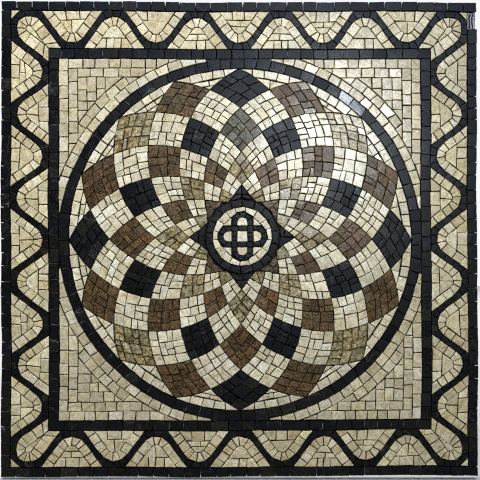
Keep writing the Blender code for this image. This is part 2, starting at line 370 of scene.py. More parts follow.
def wave_piece(a, b, side, rng):
    """One black tessera of the wave between two joints; where the wave
    touches a border it is cut square to it."""
    m = on_wave((a + b) / 2)
    k = round(m[0] / (WAVE_PERIOD / 2))
    crest_height, trough_height = CREST_CENTRE, TROUGH_CENTRE
    high = m[1] > (crest_height + trough_height) / 2
    outer = inner = WAVE_HALF
    edge = BAND_OUT - GAP
    tails = []
    if abs(m[0]) > 5 * WAVE_PERIOD / 2 - 1.0:
        outer = 14.0
        tails = [((0.0, edge), (0.0, -1.0))]
        sign = 1 if m[0] > 0 else -1
        tails.append(((sign * edge, 0.0), (-sign, 0.0)))
        tails.append(((sign * 234.5, 234.5), (-sign, -1.0)))
        if abs(m[0]) < CORNER_CENTRE - 0.5:
            tails += [flank_cuts(5 * sign)[0 if sign > 0 else 1]]
    elif high:
        k = k if k % 2 else (k + 1 if m[0] > k * WAVE_PERIOD / 2 else k - 1)
        outer = 14.0
        tails = [((0.0, edge), (0.0, -1.0)), *flank_cuts(k)]
    else:
        k = k if k % 2 == 0 else (k + 1 if m[0] > k * WAVE_PERIOD / 2 else k - 1)
        inner = 14.0
        tails = [((0.0, INNER_OUT + GAP), (0.0, 1.0)), *flank_cuts(k)]
    quad = [
        on_wave(a, outer),
        on_wave(b, outer),
        on_wave(b, -inner),
        on_wave(a, -inner),
    ]
    for point, normal in tails:
        quad = cut(quad, point, normal)
        if not quad:
            return
    half = "first" if m[0] < 0 else "last"
    lay([turned(p, side) for p in quad], "black", f"{SIDES[side]}_wave_{half}_stones", rng)


def curved(length):
    """True where the wave bends at this length along it."""
    i = min(len(WAVE_AT) - 2, int(np.searchsorted(WAVE_AT, length)))
    return WAVE_AT[min(i + 1, len(WAVE_AT) - 1)] - WAVE_AT[i - 1] < 5.0


def wave_line():
    total = float(WAVE_AT[-1])
    for side in range(4):
        rng = random.Random(f"wave {side}")
        at = [0.0]
        while at[-1] < total:
            bend = curved(at[-1] + 3.0)
            at.append(at[-1] + (rng.uniform(6.6, 9.6) if bend else rng.uniform(10.0, 14.5)))
        scale = total / at[-1]
        at = [a * scale for a in at]
        for a, b in zip(at, at[1:]):
            wave_piece(a, b, side, rng)


# ---- cream lobes ------------------------------------------------------------
BESIDE = WAVE_HALF + GAP / 2
LOBE_R = WAVE_RADIUS - BESIDE  # lobe's own end radius
LOBE_H = BAND_OUT - GAP - TROUGH_CENTRE  # from that centre to the border
SIN_F, COS_F = math.sin(FLANK), math.cos(FLANK)


def lobe_point(t, r, mid):
    """Point of a lobe's outer course: t along it from the lobe's deepest
    point, r from the axis that the lobe's round end turns about."""
    way = 1 if t >= 0 else -1
    bend = mid * FLANK
    if abs(t) <= bend:
        a = t / mid
        return (r * math.sin(a), -r * math.cos(a))
    d = abs(t) - bend
    return (way * (r * SIN_F + d * COS_F), -r * COS_F + d * SIN_F)


def lobe_tesserae(rng):
    """Outlines of one lobe's tesserae about its own centre; the border line
    lies at +LOBE_H and the wave bends round below."""
    wide = rng.uniform(9.0, 10.2)
    r_in = LOBE_R - wide
    mid = LOBE_R - wide / 2
    bend = mid * FLANK
    pieces = []
    joints = {0: [], 1: []}
    start = rng.uniform(-3.2, 3.2)
    for hand, way in ((0, 1), (1, -1)):
        t = start * way
        path = []
        while t < bend - 2.5:
            t += rng.uniform(5.4, 7.4)
            path.append(t)
        last = bend + rng.uniform(19.5, 24.0)
        room = last - path[-1]
        count = 1 if room < 15.0 else 2
        share = rng.uniform(0.42, 0.58)
        if count == 2:
            path.append(path[-1] + room * share)
        path.append(last)
        joints[hand] = path
    line = [-t for t in reversed(joints[1])] + [start] + joints[0]
    slip = [rng.uniform(-0.35, 0.35) for _ in line]
    for i in range(len(line) - 1):
        a, b = line[i], line[i + 1]
        quad = [
            lobe_point(a + slip[i], LOBE_R, mid),
            lobe_point(b + slip[i + 1], LOBE_R, mid),
            lobe_point(b - slip[i + 1], r_in, mid),
            lobe_point(a - slip[i], r_in, mid),
        ]
        pieces.append(cut(quad, (0.0, LOBE_H), (0.0, -1.0)))
    for way in (-1, 1):
        a = line[-1] if way > 0 else -line[0]
        far = bend + (LOBE_H + LOBE_R * COS_F) / SIN_F
        quad = [
            lobe_point(way * a, LOBE_R, mid),
            lobe_point(way * far, LOBE_R, mid),
            lobe_point(way * far, r_in, mid),
            lobe_point(way * a, r_in, mid),
        ]
        pieces.append(cut(quad, (0.0, LOBE_H), (0.0, -1.0)))
    core = [(r_in * math.sin(a), -r_in * math.cos(a)) for a in (-FLANK, -FLANK * 0.35, FLANK * 0.35, FLANK)]
    reach = (LOBE_H + r_in * COS_F) / SIN_F
    for way in (1, -1):
        core.append((way * (r_in * SIN_F + reach * COS_F), LOBE_H))
    row = LOBE_H - rng.uniform(8.8, 11.2)
    upper, lower = halved(core, (0.0, row), (rng.uniform(-0.04, 0.04), 1.0))
    wide_half = max(p[0] for p in upper)
    marks = rng.choice(
        (
            (-0.34, 0.32),
            (-0.30, 0.36),
            (-0.36, 0.02, 0.38),
            (-0.05, 0.42),
            (-0.40, 0.10),
            (-0.33, 0.35),
        )
    )
    rest = upper
    for mark in marks:
        done, rest = halved(
            rest,
            (wide_half * (mark + rng.uniform(-0.05, 0.05)), row + 5.0),
            (-1.0, rng.uniform(-0.10, 0.10)),
        )
        pieces.append(done)
    pieces.append(rest)
    kind = rng.random()
    if kind < 0.35:
        pieces.append(lower)
    elif kind < 0.75:
        pieces += halved(lower, (rng.uniform(-1.5, 1.5), 0.0), (1.0, rng.uniform(-0.12, 0.12)))
    else:
        low = row - rng.uniform(5.5, 7.0)
        band, tip = halved(lower, (0.0, low), (rng.uniform(-0.08, 0.08), 1.0))
        pieces.append(tip)
        pieces += halved(band, (rng.uniform(-2.5, 2.5), 0.0), (1.0, rng.uniform(-0.12, 0.12)))
    return [p for p in pieces if len(p) > 2]


def lobes():
    for side in range(4):
        for n, k in enumerate((-4, -2, 0, 2, 4)):
            rng = random.Random(f"outer lobe {side} {k}")
            group = f"{SIDES[side]}_outer_lobe_{n + 1}_stones"
            for piece in lobe_tesserae(rng):
                poly = [
                    turned((k * WAVE_PERIOD / 2 + p, TROUGH_CENTRE + q), side)
                    for p, q in piece
                ]
                lay(poly, "cream", group, rng)
        for n, k in enumerate((-3, -1, 1, 3)):
            rng = random.Random(f"inner lobe {side} {k}")
            group = f"{SIDES[side]}_inner_lobe_{n + 1}_stones"
            for piece in lobe_tesserae(rng):
                poly = [
                    turned((k * WAVE_PERIOD / 2 + p, CREST_CENTRE - q), side)
                    for p, q in piece
                ]
                lay(poly, "cream", group, rng)


def corner_path():
    """Outline of a corner lobe beside the wave, from one tip at the inner
    square round the panel's corner to the other; rows of (s, v)."""
    centre = (5 * WAVE_PERIOD / 2, CREST_CENTRE)
    n = (-SIN_F, COS_F)
    edge = INNER_OUT + GAP
    reach = (LOBE_R * COS_F + centre[1] - edge) / SIN_F
    half = []
    for i in range(12):
        d = reach * (1 - i / 12)
        half.append(
            (centre[0] + n[0] * LOBE_R - COS_F * d, centre[1] + n[1] * LOBE_R - SIN_F * d)
        )
    for i in range(11):
        a = -FLANK * (1 - i / 10)
        half.append((centre[0] + LOBE_R * math.sin(a), centre[1] + LOBE_R * math.cos(a)))
    small = WAVE_CORNER - BESIDE
    for i in range(9):
        a = math.pi / 4 * i / 8
        half.append((CORNER_CENTRE + small * math.sin(a), CORNER_CENTRE + small * math.cos(a)))
    return np.array(half + [(v, s) for s, v in reversed(half[:-1])])


CORNER_PATH = corner_path()
CORNER_AT = np.concatenate(
    [[0.0], np.cumsum(np.hypot(*(np.diff(CORNER_PATH, axis=0).T)))]
)


def corner_lobe(side):
    rng = random.Random(f"corner lobe {side}")
    group = f"{CORNERS[side]}_corner_lobe_stones"
    total = float(CORNER_AT[-1])
    edge = INNER_OUT + GAP
    heart = (edge + 20.2, edge + 20.2)
    half_wide = rng.uniform(2.9, 3.5)
    tip = (edge + rng.uniform(3.0, 4.5),) * 2

    def outer(t):
        return tuple(float(np.interp(t, CORNER_AT, CORNER_PATH[:, i])) for i in (0, 1))

    def inner(t):
        p = outer(t)
        left = t < total / 2
        side_of = (-1, 1) if left else (1, -1)
        elbow = (
            heart[0] + side_of[0] * half_wide * 0.7071,
            heart[1] + side_of[1] * half_wide * 0.7071,
        )
        n = (SIN_F, -COS_F) if left else (-COS_F, SIN_F)
        if (t if left else total - t) < 34.0:
            # foot of the square joint on the line from the tip to the elbow
            ex, ez = elbow[0] - tip[0], elbow[1] - tip[1]
            det = n[0] * -ez + n[1] * ex
            wx, wz = tip[0] - p[0], tip[1] - p[1]
            u = (n[0] * wz - n[1] * wx) / det
            if u <= 1.0:
                u = max(0.0, u)
                return (tip[0] + ex * u, tip[1] + ez * u)
        d = math.dist(p, heart)
        return (
            heart[0] + (p[0] - heart[0]) / d * half_wide,
            heart[1] + (p[1] - heart[1]) / d * half_wide,
        )

    first = 7.9 + rng.uniform(-0.8, 0.8)
    second = first + rng.uniform(11.0, 13.5)
    third = second + rng.uniform(10.5, 13.0)
    last = total - 7.9 + rng.uniform(-0.8, 0.8)
    before = last - rng.uniform(11.0, 13.5)
    early = before - rng.uniform(10.5, 13.0)
    at = [first, second, third]
    at += [third + a for a in stops(early - third, 6.6, 9.4, rng)[1:-1]]
    at += [early, before, last]
    for a, b in zip(at, at[1:]):
        quad = [outer(a), outer(b), inner(b), inner(a)]
        lay([turned(p, side) for p in quad], "cream", group, rng)
    key = (edge, edge)
    lay([turned(p, side) for p in (outer(0.0), outer(first), inner(first), key)], "cream", group, rng)
    lay([turned(p, side) for p in (key, inner(last), outer(last), outer(total))], "cream", group, rng)
    # narrow pieces between both flanks, cut square to the diagonal
    strip = [tip]
    for a in (-45, 0, 45, 90, 135):
        u = math.radians(a)
        strip.append((heart[0] + half_wide * math.cos(u), heart[1] + half_wide * math.sin(u)))
    length = math.dist(tip, heart) + half_wide
    marks = stops(length, 7.5, 11.5, rng)
    for a, b in zip(marks, marks[1:]):
        lean = rng.uniform(-0.15, 0.15)
        at_a = (tip[0] + a * 0.7071, tip[1] + a * 0.7071)
        at_b = (tip[0] + b * 0.7071, tip[1] + b * 0.7071)
        part = strip if a == 0 else cut(strip, at_a, (1.0 - lean, 1.0 + lean))
        if part and b < length - 0.1:
            part = cut(part, at_b, (-1.0 - lean, -1.0 + lean))
        lay([turned(p, side) for p in part], "cream", group, rng, "fine", least=4.0)


def corner_tip(side):
    rng = random.Random(f"corner tip {side}")
    edge = BAND_OUT - GAP
    a, b = rng.uniform(8.6, 10.6), rng.uniform(8.6, 10.6)
    poly = [(edge - a, edge), (edge, edge), (edge, edge - b)]
    lay([turned(p, side) for p in poly], "cream", f"{CORNERS[side]}_corner_tip_stone", rng)


# ---- the circle and the corner fields ---------------------------------------
TOUCH = {}  # where cream starts on either side of a touching point, radians
for _side in range(4):
    _rng = random.Random(f"touch {_side}")
    TOUCH[_side] = (_rng.uniform(0.155, 0.185), _rng.uniform(0.155, 0.185))


def circle_band():
    for side in range(4):
        rng = random.Random(f"circle {side}")
        start, end = -TOUCH[side][0], TOUCH[side][1]
        arc = (end - start) * 185.0
        at = [start + a / 185.0 for a in stops(arc, 12.0, 16.0, rng)]
        rest = math.pi / 2 - TOUCH[(side + 1) % 4][0]
        at += [end + a / 185.0 for a in stops((rest - end) * 185.0, 12.5, 17.0, rng)[1:]]
        lean = [rng.uniform(-0.006, 0.006) for _ in at]
        lean[0] = lean[-1] = 0.0
        for i in range(len(at) - 1):
            a, b = at[i], at[i + 1]
            touching = b <= end + 1e-6
            far = 197.0 if touching else CIRCLE_OUT
            quad = [
                polar(far, a + lean[i]),
                polar(far, b + lean[i + 1]),
                polar(CIRCLE_IN, b - lean[i + 1]),
                polar(CIRCLE_IN, a - lean[i]),
            ]
            if touching:
                quad = cut(quad, (0.0, INNER_IN - 0.1), (0.0, -1.0))
            part = 1 if touching or (a + b) / 2 < math.pi / 4 else 2
            lay([turned(p, side) for p in quad], "black", f"circle_{SIDES[side]}_{part}_stones", rng)
            if not touching:
                BLACK_JOINTS.append((turned(quad[2], side), turned(quad[1], side)))


def corner_field(side):
    rng = random.Random(f"corner field {side}")
    name = CORNERS[side]
    swap = rng.random() < 0.5

    def put(poly, part, **more):
        if len(poly) < 3:
            return
        if swap:
            poly = [(b, a) for a, b in poly]
        lay([turned(p, side) for p in poly], "cream", f"{name}_field_{part}_stones", rng, **more)

    edge = INNER_IN - GAP
    one = edge - rng.uniform(9.5, 10.2)
    two = one - rng.uniform(9.5, 10.2)
    r0 = CIRCLE_OUT + GAP
    r1 = r0 + rng.uniform(9.3, 10.0)
    r2 = r1 + rng.uniform(9.4, 10.2)
    centre = (0.0, 0.0)
    before, after = TOUCH[side][1], TOUCH[(side + 1) % 4][0]
    if swap:
        before, after = after, before

    # first course round the circle
    span = math.pi / 2 - after - before
    at = [before + a / 195.0 for a in stops(span * 195.0, 11.0, 16.0, rng)]
    lean = [rng.uniform(-0.004, 0.004) for _ in at]
    for i in range(len(at) - 1):
        quad = [
            polar(r0, at[i] - lean[i]),
            polar(r1, at[i] + lean[i]),
            polar(r1, at[i + 1] + lean[i + 1]),
            polar(r0, at[i + 1] - lean[i + 1]),
        ]
        quad = cut(cut(quad, (0.0, edge), (0.0, -1.0)), (edge, 0.0), (-1.0, 0.0))
        put(quad, "round")

    # second course round the circle, between the straight ones
    low = math.acos(two / r1)
    first = math.acos(two / r2) + rng.uniform(-0.012, 0.010)
    last = math.pi / 2 - math.acos(two / r2) + rng.uniform(-0.010, 0.012)
    at = [low, first]
    at += [first + a / 205.0 for a in stops((last - first) * 205.0, 10.5, 14.5, rng)[1:]]
    at.append(math.pi / 2 - low)
    lean = [rng.uniform(-0.004, 0.004) for _ in at]
    for i in range(len(at) - 1):
        quad = [
            polar(r1, at[i] - lean[i]),
            polar(r2, at[i] + lean[i]),
            polar(r2, at[i + 1] + lean[i + 1]),
            polar(r1, at[i + 1] - lean[i + 1]),
        ]
        quad = cut(cut(quad, (0.0, two), (0.0, -1.0)), (two, 0.0), (-1.0, 0.0))
        put(quad, "round")

    # two straight courses along each border
    for flip in (False, True):
        for n, (lo, hi) in enumerate(((one, edge), (two, one))):
            stop = hi if not flip else lo
            begin = math.sqrt(r1**2 - hi**2) + (2.5 if n == 0 else 0.5)
            marks = [begin + a for a in stops(stop - begin, 10.5, 16.0, rng)]
            marks[0] -= 4.0
            joints = slanted(marks, begin, stop - 0.01, rng, 0.45)
            for (a0, b0), (a1, b1) in zip(joints, joints[1:]):
                quad = [(a0, lo), (a1, lo), (b1, hi), (b0, hi)]
                if flip:
                    quad = [(b, a) for a, b in quad]
                put(outside(quad, centre, r1), "straight")

    # short rows in the corner between them
    high = two
    while True:
        begin = math.sqrt(max(0.0, r2**2 - high**2))
        if two - begin < 16.5:
            floor = math.sqrt(r2**2 - two**2) - 1.0
            put(outside([(begin - 1, floor), (two, floor), (two, high), (begin - 1, high)], centre, r2), "infill")
            break
        row = high - rng.uniform(9.2, 10.6)
        marks = [begin + a for a in stops(two - begin, 9.5, 14.5, rng)]
        marks[0] -= 2.0
        joints = slanted(marks, begin, two - 0.01, rng, 0.45)
        for (a0, b0), (a1, b1) in zip(joints, joints[1:]):
            put(outside([(a0, row), (a1, row), (b1, high), (b0, high)], centre, r2), "infill")
        high = row


# ---- the rosette ------------------------------------------------------------
def node_radius(m):
    a = m * HALF_STEP
    return GUIDE_C * math.cos(a) + math.sqrt(GUIDE_R**2 - (GUIDE_C * math.sin(a)) ** 2)


def guide(way):
    return polar(GUIDE_C, way * HALF_STEP)


def lunette(n):
    spoke = 2 * n
    rng = random.Random(f"lunette {n}")
    group = f"rosette_lunette_{n + 1:02d}_stones"
    left, right = guide(spoke - 3), guide(spoke + 5)
    r_in = ROSETTE_OUT - rng.uniform(8.0, 9.4)
    start, end = spoke * HALF_STEP, (spoke + 2) * HALF_STEP
    first = start + rng.uniform(14.0, 17.5) / ROSETTE_OUT
    last = end - rng.uniform(14.0, 17.5) / ROSETTE_OUT
    at = [start, first]
    at += [first + a / ROSETTE_OUT for a in stops((last - first) * ROSETTE_OUT, 10.5, 15.0, rng)[1:]]
    at.append(end)
    lean = [rng.uniform(-0.004, 0.004) for _ in at]

    def put(poly, least=3.0):
        poly = outside(poly, left, GUIDE_R)
        if poly:
            poly = outside(poly, right, GUIDE_R)
        lay(poly, "cream", group, rng, least=least)

    for i in range(len(at) - 1):
        put(
            [
                polar(ROSETTE_OUT, at[i] + lean[i]),
                polar(ROSETTE_OUT, at[i + 1] + lean[i + 1]),
                polar(r_in, at[i + 1] - lean[i + 1]),
                polar(r_in, at[i] - lean[i]),
            ]
        )
    mid = (spoke + 1) * HALF_STEP
    u = (math.sin(mid), math.cos(mid))
    across = (u[1], -u[0])
    base, tip = r_in, node_radius(4)
    wedge = [
        (u[0] * base + across[0] * w, u[1] * base + across[1] * w)
        for w in (-19.5, 19.5)
    ] + [(u[0] * tip + across[0] * w, u[1] * tip + across[1] * w) for w in (0.8, -0.8)]
    wedge = cut(wedge, (u[0] * (base - 0.9), u[1] * (base - 0.9)), (-u[0], -u[1]))
    kind = rng.random()
    if kind < 0.4:
        lean_in = rng.uniform(-0.15, 0.15)
        point = (u[0] * base + across[0] * rng.uniform(-3, 3), u[1] * base + across[1] * rng.uniform(-3, 3))
        for part in halved(wedge, point, (across[0] + u[0] * lean_in, across[1] + u[1] * lean_in)):
            put(part)
    else:
        level = base - rng.uniform(5.4, 6.8)
        band, point = halved(wedge, (u[0] * level, u[1] * level), u)
        put(point)
        marks = (rng.uniform(-3, 3),) if kind < 0.75 else (rng.uniform(-7, -4), rng.uniform(4, 7))
        for mark in marks:
            spot = (u[0] * base + across[0] * mark, u[1] * base + across[1] * mark)
            part, band = halved(band, spot, (-across[0], -across[1]))
            put(part)
        put(band)


def cell_stone(m, spoke):
    """The rosette's colours, by ring and by spoke."""
    if m in (4, 6, 8):
        return "cream"
    if m == 3:
        return {0: "black", 4: "green"}.get(spoke % 8, "brown")
    if m == 5:
        if spoke == 0:
            return "taupe"
        return "brown" if spoke % 4 == 0 else "black"
    return "green" if spoke % 4 == 0 else "brown"


def cell(m, spoke):
    rng = random.Random(f"cell {m} {spoke}")
    stone = cell_stone(m, spoke)
    group = f"rosette_ring_{m - 2}_cell_{spoke // 2 + 1:02d}_stones"
    alpha, beta = spoke - m, spoke + m

    def spot(a, b):
        way, node = (a + b) / 2, (b - a) / 2
        return polar(node_radius(node), way * HALF_STEP)

    wide = (
        math.dist(spot(alpha, beta), spot(alpha - 2, beta))
        + math.dist(spot(alpha, beta + 2), spot(alpha - 2, beta + 2))
    ) / 2
    tall = (
        math.dist(spot(alpha, beta), spot(alpha, beta + 2))
        + math.dist(spot(alpha - 2, beta), spot(alpha - 2, beta + 2))
    ) / 2
    size = {3: 11.2, 4: 10.6, 5: 10.6, 6: 10.2, 7: 10.0, 8: 9.8}[m] * rng.uniform(0.90, 1.12)
    for part in shatter([(0, 0), (wide, 0), (wide, tall), (0, tall)], size, rng, 0.10, 3.4):
        poly = [spot(alpha - 2 * u / wide, beta + 2 * w / tall) for u, w in part]
        lay(poly, stone, group, rng, "cream" if stone == "cream" else "fine")


def inner_cell(spoke):
    rng = random.Random(f"inner cell {spoke}")
    side_a = polar(node_radius(10), (spoke + 1) * HALF_STEP)
    side_b = polar(node_radius(10), (spoke - 1) * HALF_STEP)
    poly = [
        polar(node_radius(9), spoke * HALF_STEP),
        side_a,
        polar(STAR_RING_OUT + 0.3, spoke * HALF_STEP),
        side_b,
    ]
    parts = [poly]
    if rng.random() < 0.6:
        way = spoke * HALF_STEP + rng.choice((0.0, 0.8, -0.8)) + rng.uniform(-0.1, 0.1)
        parts = halved(poly, middle(poly), (math.cos(way), -math.sin(way)))
    for part in parts:
        lay(part, "green", f"rosette_ring_8_cell_{spoke // 4 + 1}_stones", rng, "fine")


def star():
    for n in range(8):
        spoke = 4 * n
        rng = random.Random(f"star {n}")
        stone = "black" if n % 2 == 0 else "umber"
        group = f"star_point_{n + 1}_stones"
        way = spoke * HALF_STEP
        u = (math.sin(way), math.cos(way))
        across = (u[1], -u[0])

        def at(out, w, u=u, across=across):
            return (u[0] * out + across[0] * w, u[1] * out + across[1] * w)

        ring = STAR_RING_OUT + 0.2
        base = ring * math.cos(HALF_STEP)
        tip = node_radius(9) - 0.3
        whole = [at(tip, 0), at(36.4, 13.7), at(base, 7.6), at(ring - 0.2, 0), at(base, -7.6), at(36.4, -13.7)]
        kind = rng.random()
        if kind < 0.45:
            halves = halved(whole, at(45, rng.uniform(-0.6, 0.6)), across)
            parts = []
            for half in halves:
                if rng.random() < 0.5:
                    level = rng.uniform(43.5, 47.0)
                    parts += halved(half, at(level, 0), (u[0] + across[0] * 0.1, u[1] + across[1] * 0.1))
                else:
                    parts.append(half)
        else:
            point, rest = halved(whole, at(rng.uniform(45.5, 48.0), 0), (u[0] + across[0] * rng.uniform(-0.2, 0.2), u[1]))
            parts = [point]
            mark = rng.uniform(-3, 3)
            parts += halved(rest, at(42, mark), (across[0] + u[0] * 0.1, across[1] + u[1] * 0.1))
        for part in parts:
            lay(part, stone, group, rng, "fine")
    rng = random.Random("star ring")
    at = stops(math.tau, 0.30, 0.40, rng)
    for a, b in zip(at, at[1:]):
        quad = [
            polar(STAR_RING_OUT, a),
            polar(STAR_RING_OUT, b),
            polar(STAR_RING_IN, b),
            polar(STAR_RING_IN, a),
        ]
        lay(quad, "black", "star_ring_stones", rng, "fine")


# ---- the roundel ------------------------------------------------------------
def end_radius(fold):
    """From the centre to a loop's round end, at an angle off its axis."""
    reach = LOOP_HALF - LOOP_WIDE
    return reach * math.cos(fold) + math.sqrt(
        max(0.0, LOOP_WIDE**2 - (reach * math.sin(fold)) ** 2)
    )


def rim_inner(angle):
    fold = abs((angle + math.pi / 4) % (math.pi / 2) - math.pi / 4)
    return float(
        np.interp(math.degrees(fold), [0, 10, 20, 30, 45], [26.4, 25.9, 24.7, 23.5, 22.7])
    )


def rim():
    rng = random.Random("rim")
    at = stops(math.tau, 0.30, 0.44, rng)
    shift = rng.uniform(0, 0.2)
    for a, b in zip(at, at[1:]):
        a, b = a + shift, b + shift
        ra, rb = rim_inner(a), rim_inner(b)
        lack = 0.0
        for i in range(1, 6):
            t = i / 6
            pa, pb = polar(ra, a), polar(rb, b)
            chord = math.hypot(pa[0] + (pb[0] - pa[0]) * t, pa[1] + (pb[1] - pa[1]) * t)
            angle = a + (b - a) * t
            fold = abs((angle + math.pi / 4) % (math.pi / 2) - math.pi / 4)
            if fold < math.radians(28):
                lack = max(lack, end_radius(fold) + 0.1 - chord)
        quad = [
            polar(RIM_OUT, a),
            polar(RIM_OUT, b),
            polar(rb + lack, b),
            polar(ra + lack, a),
        ]
        lay(quad, "cream", "roundel_rim_stones", rng, "fine")


def knot():
    rng = random.Random("knot")
    line, half = LOOP_WIDE - LOOP_LINE / 2, LOOP_LINE / 2
    reach = LOOP_HALF - LOOP_WIDE

    def put(poly, upright):
        if not upright:
            poly = [(b, a) for a, b in poly]
        lay(poly, "black", "roundel_knot_stones", rng, "fine", least=2.0)

    for upright in (True, False):
        for hand in (-1, 1):
            over_low = (hand < 0) == upright
            low, high = (-LOOP_WIDE, line - half) if over_low else (half - line, LOOP_WIDE)
            crossing = (low, low + LOOP_LINE + rng.uniform(0.6, 2.0)) if over_low else (high - LOOP_LINE - rng.uniform(0.6, 2.0), high)
            rest = (crossing[1], high) if over_low else (low, crossing[0])
            spans = [crossing]
            if rng.random() < 0.6:
                m = (rest[0] + rest[1]) / 2 + rng.uniform(-0.7, 0.7)
                spans += [(rest[0], m), (m, rest[1])]
            else:
                spans.append(rest)
            for a, b in spans:
                x0, x1 = hand * line - half, hand * line + half
                put([(x0, a), (x1, a), (x1, b), (x0, b)], upright)
        for up in (-1, 1):
            straight = reach - LOOP_WIDE
            total = 2 * straight + math.pi * line

            def spot(t, off):
                if t < straight:
                    p = (-(line + off), LOOP_WIDE + t)
                elif t > total - straight:
                    p = (line + off, LOOP_WIDE + total - t)
                else:
                    a = (t - straight) / line
                    p = (-(line + off) * math.cos(a), reach + (line + off) * math.sin(a))
                return (p[0], p[1] * up)

            at = stops(total, 5.6, 8.0, rng)
            for a, b in zip(at, at[1:]):
                put([spot(a, half), spot(b, half), spot(b, -half), spot(a, -half)], upright)


def roundel():
    rim()
    knot()
    rng = random.Random("roundel cream")
    inner = LOOP_WIDE - LOOP_LINE
    reach = LOOP_HALF - LOOP_WIDE
    group = "roundel_cream_stones"
    near = inner - 0.1
    lay([(-near, -near), (near, -near), (near, near), (-near, near)], "cream", group, rng, "fine")
    for turn in range(4):
        shape = [(-near, LOOP_WIDE + 0.1), (near, LOOP_WIDE + 0.1)]
        for i in range(7):
            a = math.pi * i / 6
            shape.append((near * math.cos(a), reach + near * math.sin(a)))
        lay([turned(p, turn) for p in shape], "cream", group, rng, "fine")
        k = LOOP_WIDE + 0.15
        shape = cut([(k, k), (26.0, k), (k, 26.0)], (16.0, 16.0), (-1.0, -1.0 + rng.uniform(-0.12, 0.12)))
        lay([turned(p, turn) for p in shape], "cream", group, rng, "fine")


outer_border()
inner_border()
wave_line()
lobes()
for _n in range(4):
    corner_lobe(_n)
    corner_tip(_n)
    corner_field(_n)
circle_band()
for _n in range(SPOKES):
    lunette(_n)
    for _m in (3, 5, 7):
        cell(_m, 2 * _n)
    for _m in (4, 6, 8):
        cell(_m, 2 * _n + 1)
for _spoke in range(2, 2 * SPOKES, 4):
    inner_cell(_spoke)
star()
roundel()


# ---- hand-laid drift ----------------------------------------------------------
def drift(x, z):
    """Slow wander of the courses from their true place, in millimetres."""
    rho = (abs(x) ** 6 + abs(z) ** 6) ** (1 / 6)
    dx = np.interp(rho, [30, 100, 150, 200, 246], [3.0, 2.1, 1.5, 0.9, 0.0])
    dz = np.interp(rho, [30, 100, 150, 200, 246], [2.3, 0.9, 0.1, -0.7, 0.0])
    dx += 0.45 * math.sin(z / 47.0 + 0.7) * math.cos(x / 71.0) + 0.25 * math.sin(z / 19.0 + 2.1)
    dz += 0.45 * math.sin(x / 53.0 + 1.9) * math.cos(z / 83.0) + 0.25 * math.sin(x / 23.0 + 0.4)
    right, low = (x + 250) / 500, (250 - z) / 500
    dx += right * (-0.9 + 2.0 * low)
    dz += (1 - low) * (-1.2 * right) + low * (2.2 * right - 0.4)
    return x + float(dx), z + float(dz)


# ---- solid tesserae -----------------------------------------------------------
def rounded(poly, rng):
    """Breaks the corners and roughens the edges of an outline."""
    out = []
    count = len(poly)
    for i, p in enumerate(poly):
        before, after = poly[i - 1], poly[(i + 1) % count]
        for other in (before, after):
            d = math.dist(p, other)
            t = min(rng.uniform(0.15, 0.6), 0.22 * d) / d
            out.append((p[0] + (other[0] - p[0]) * t, p[1] + (other[1] - p[1]) * t))
    line = []
    for i, p in enumerate(out):
        q = out[(i + 1) % len(out)]
        d = math.dist(p, q)
        line.append(p)
        steps = int(d / 2.6)
        n = (-(q[1] - p[1]) / d, (q[0] - p[0]) / d) if d > 1e-6 else (0, 0)
        for j in range(1, steps + 1):
            t = j / (steps + 1)
            w = rng.uniform(-0.05, 0.17)
            line.append((p[0] + (q[0] - p[0]) * t + n[0] * w, p[1] + (q[1] - p[1]) * t + n[1] * w))
    return tidy(line, 0.1)


def ring_in(line, distance):
    """The outline drawn towards its middle by about distance."""
    m = middle(line)
    near = min(math.dist(p, m) for p in line)
    k = min(0.45, distance / max(near, 0.1))
    return [(p[0] + (m[0] - p[0]) * k, p[1] + (m[1] - p[1]) * k) for p in line]


EYE = (0.0, -1450.0, 0.0)
WINDOW = (217.0, -1900.0, 258.0)
CATCH = [((108.7, 151.3), 1.25), ((121.7, 142.1), -0.7)]  # polished stones tipped to the window


def facing(spot):
    """The slopes that turn a stone at this spot halfway from eye to window."""
    here = Vector((spot[0], STONE_FRONT, spot[1]))
    half = (Vector(EYE) - here).normalized() + (Vector(WINDOW) - here).normalized()
    return (half.x / -half.y, half.z / -half.y)


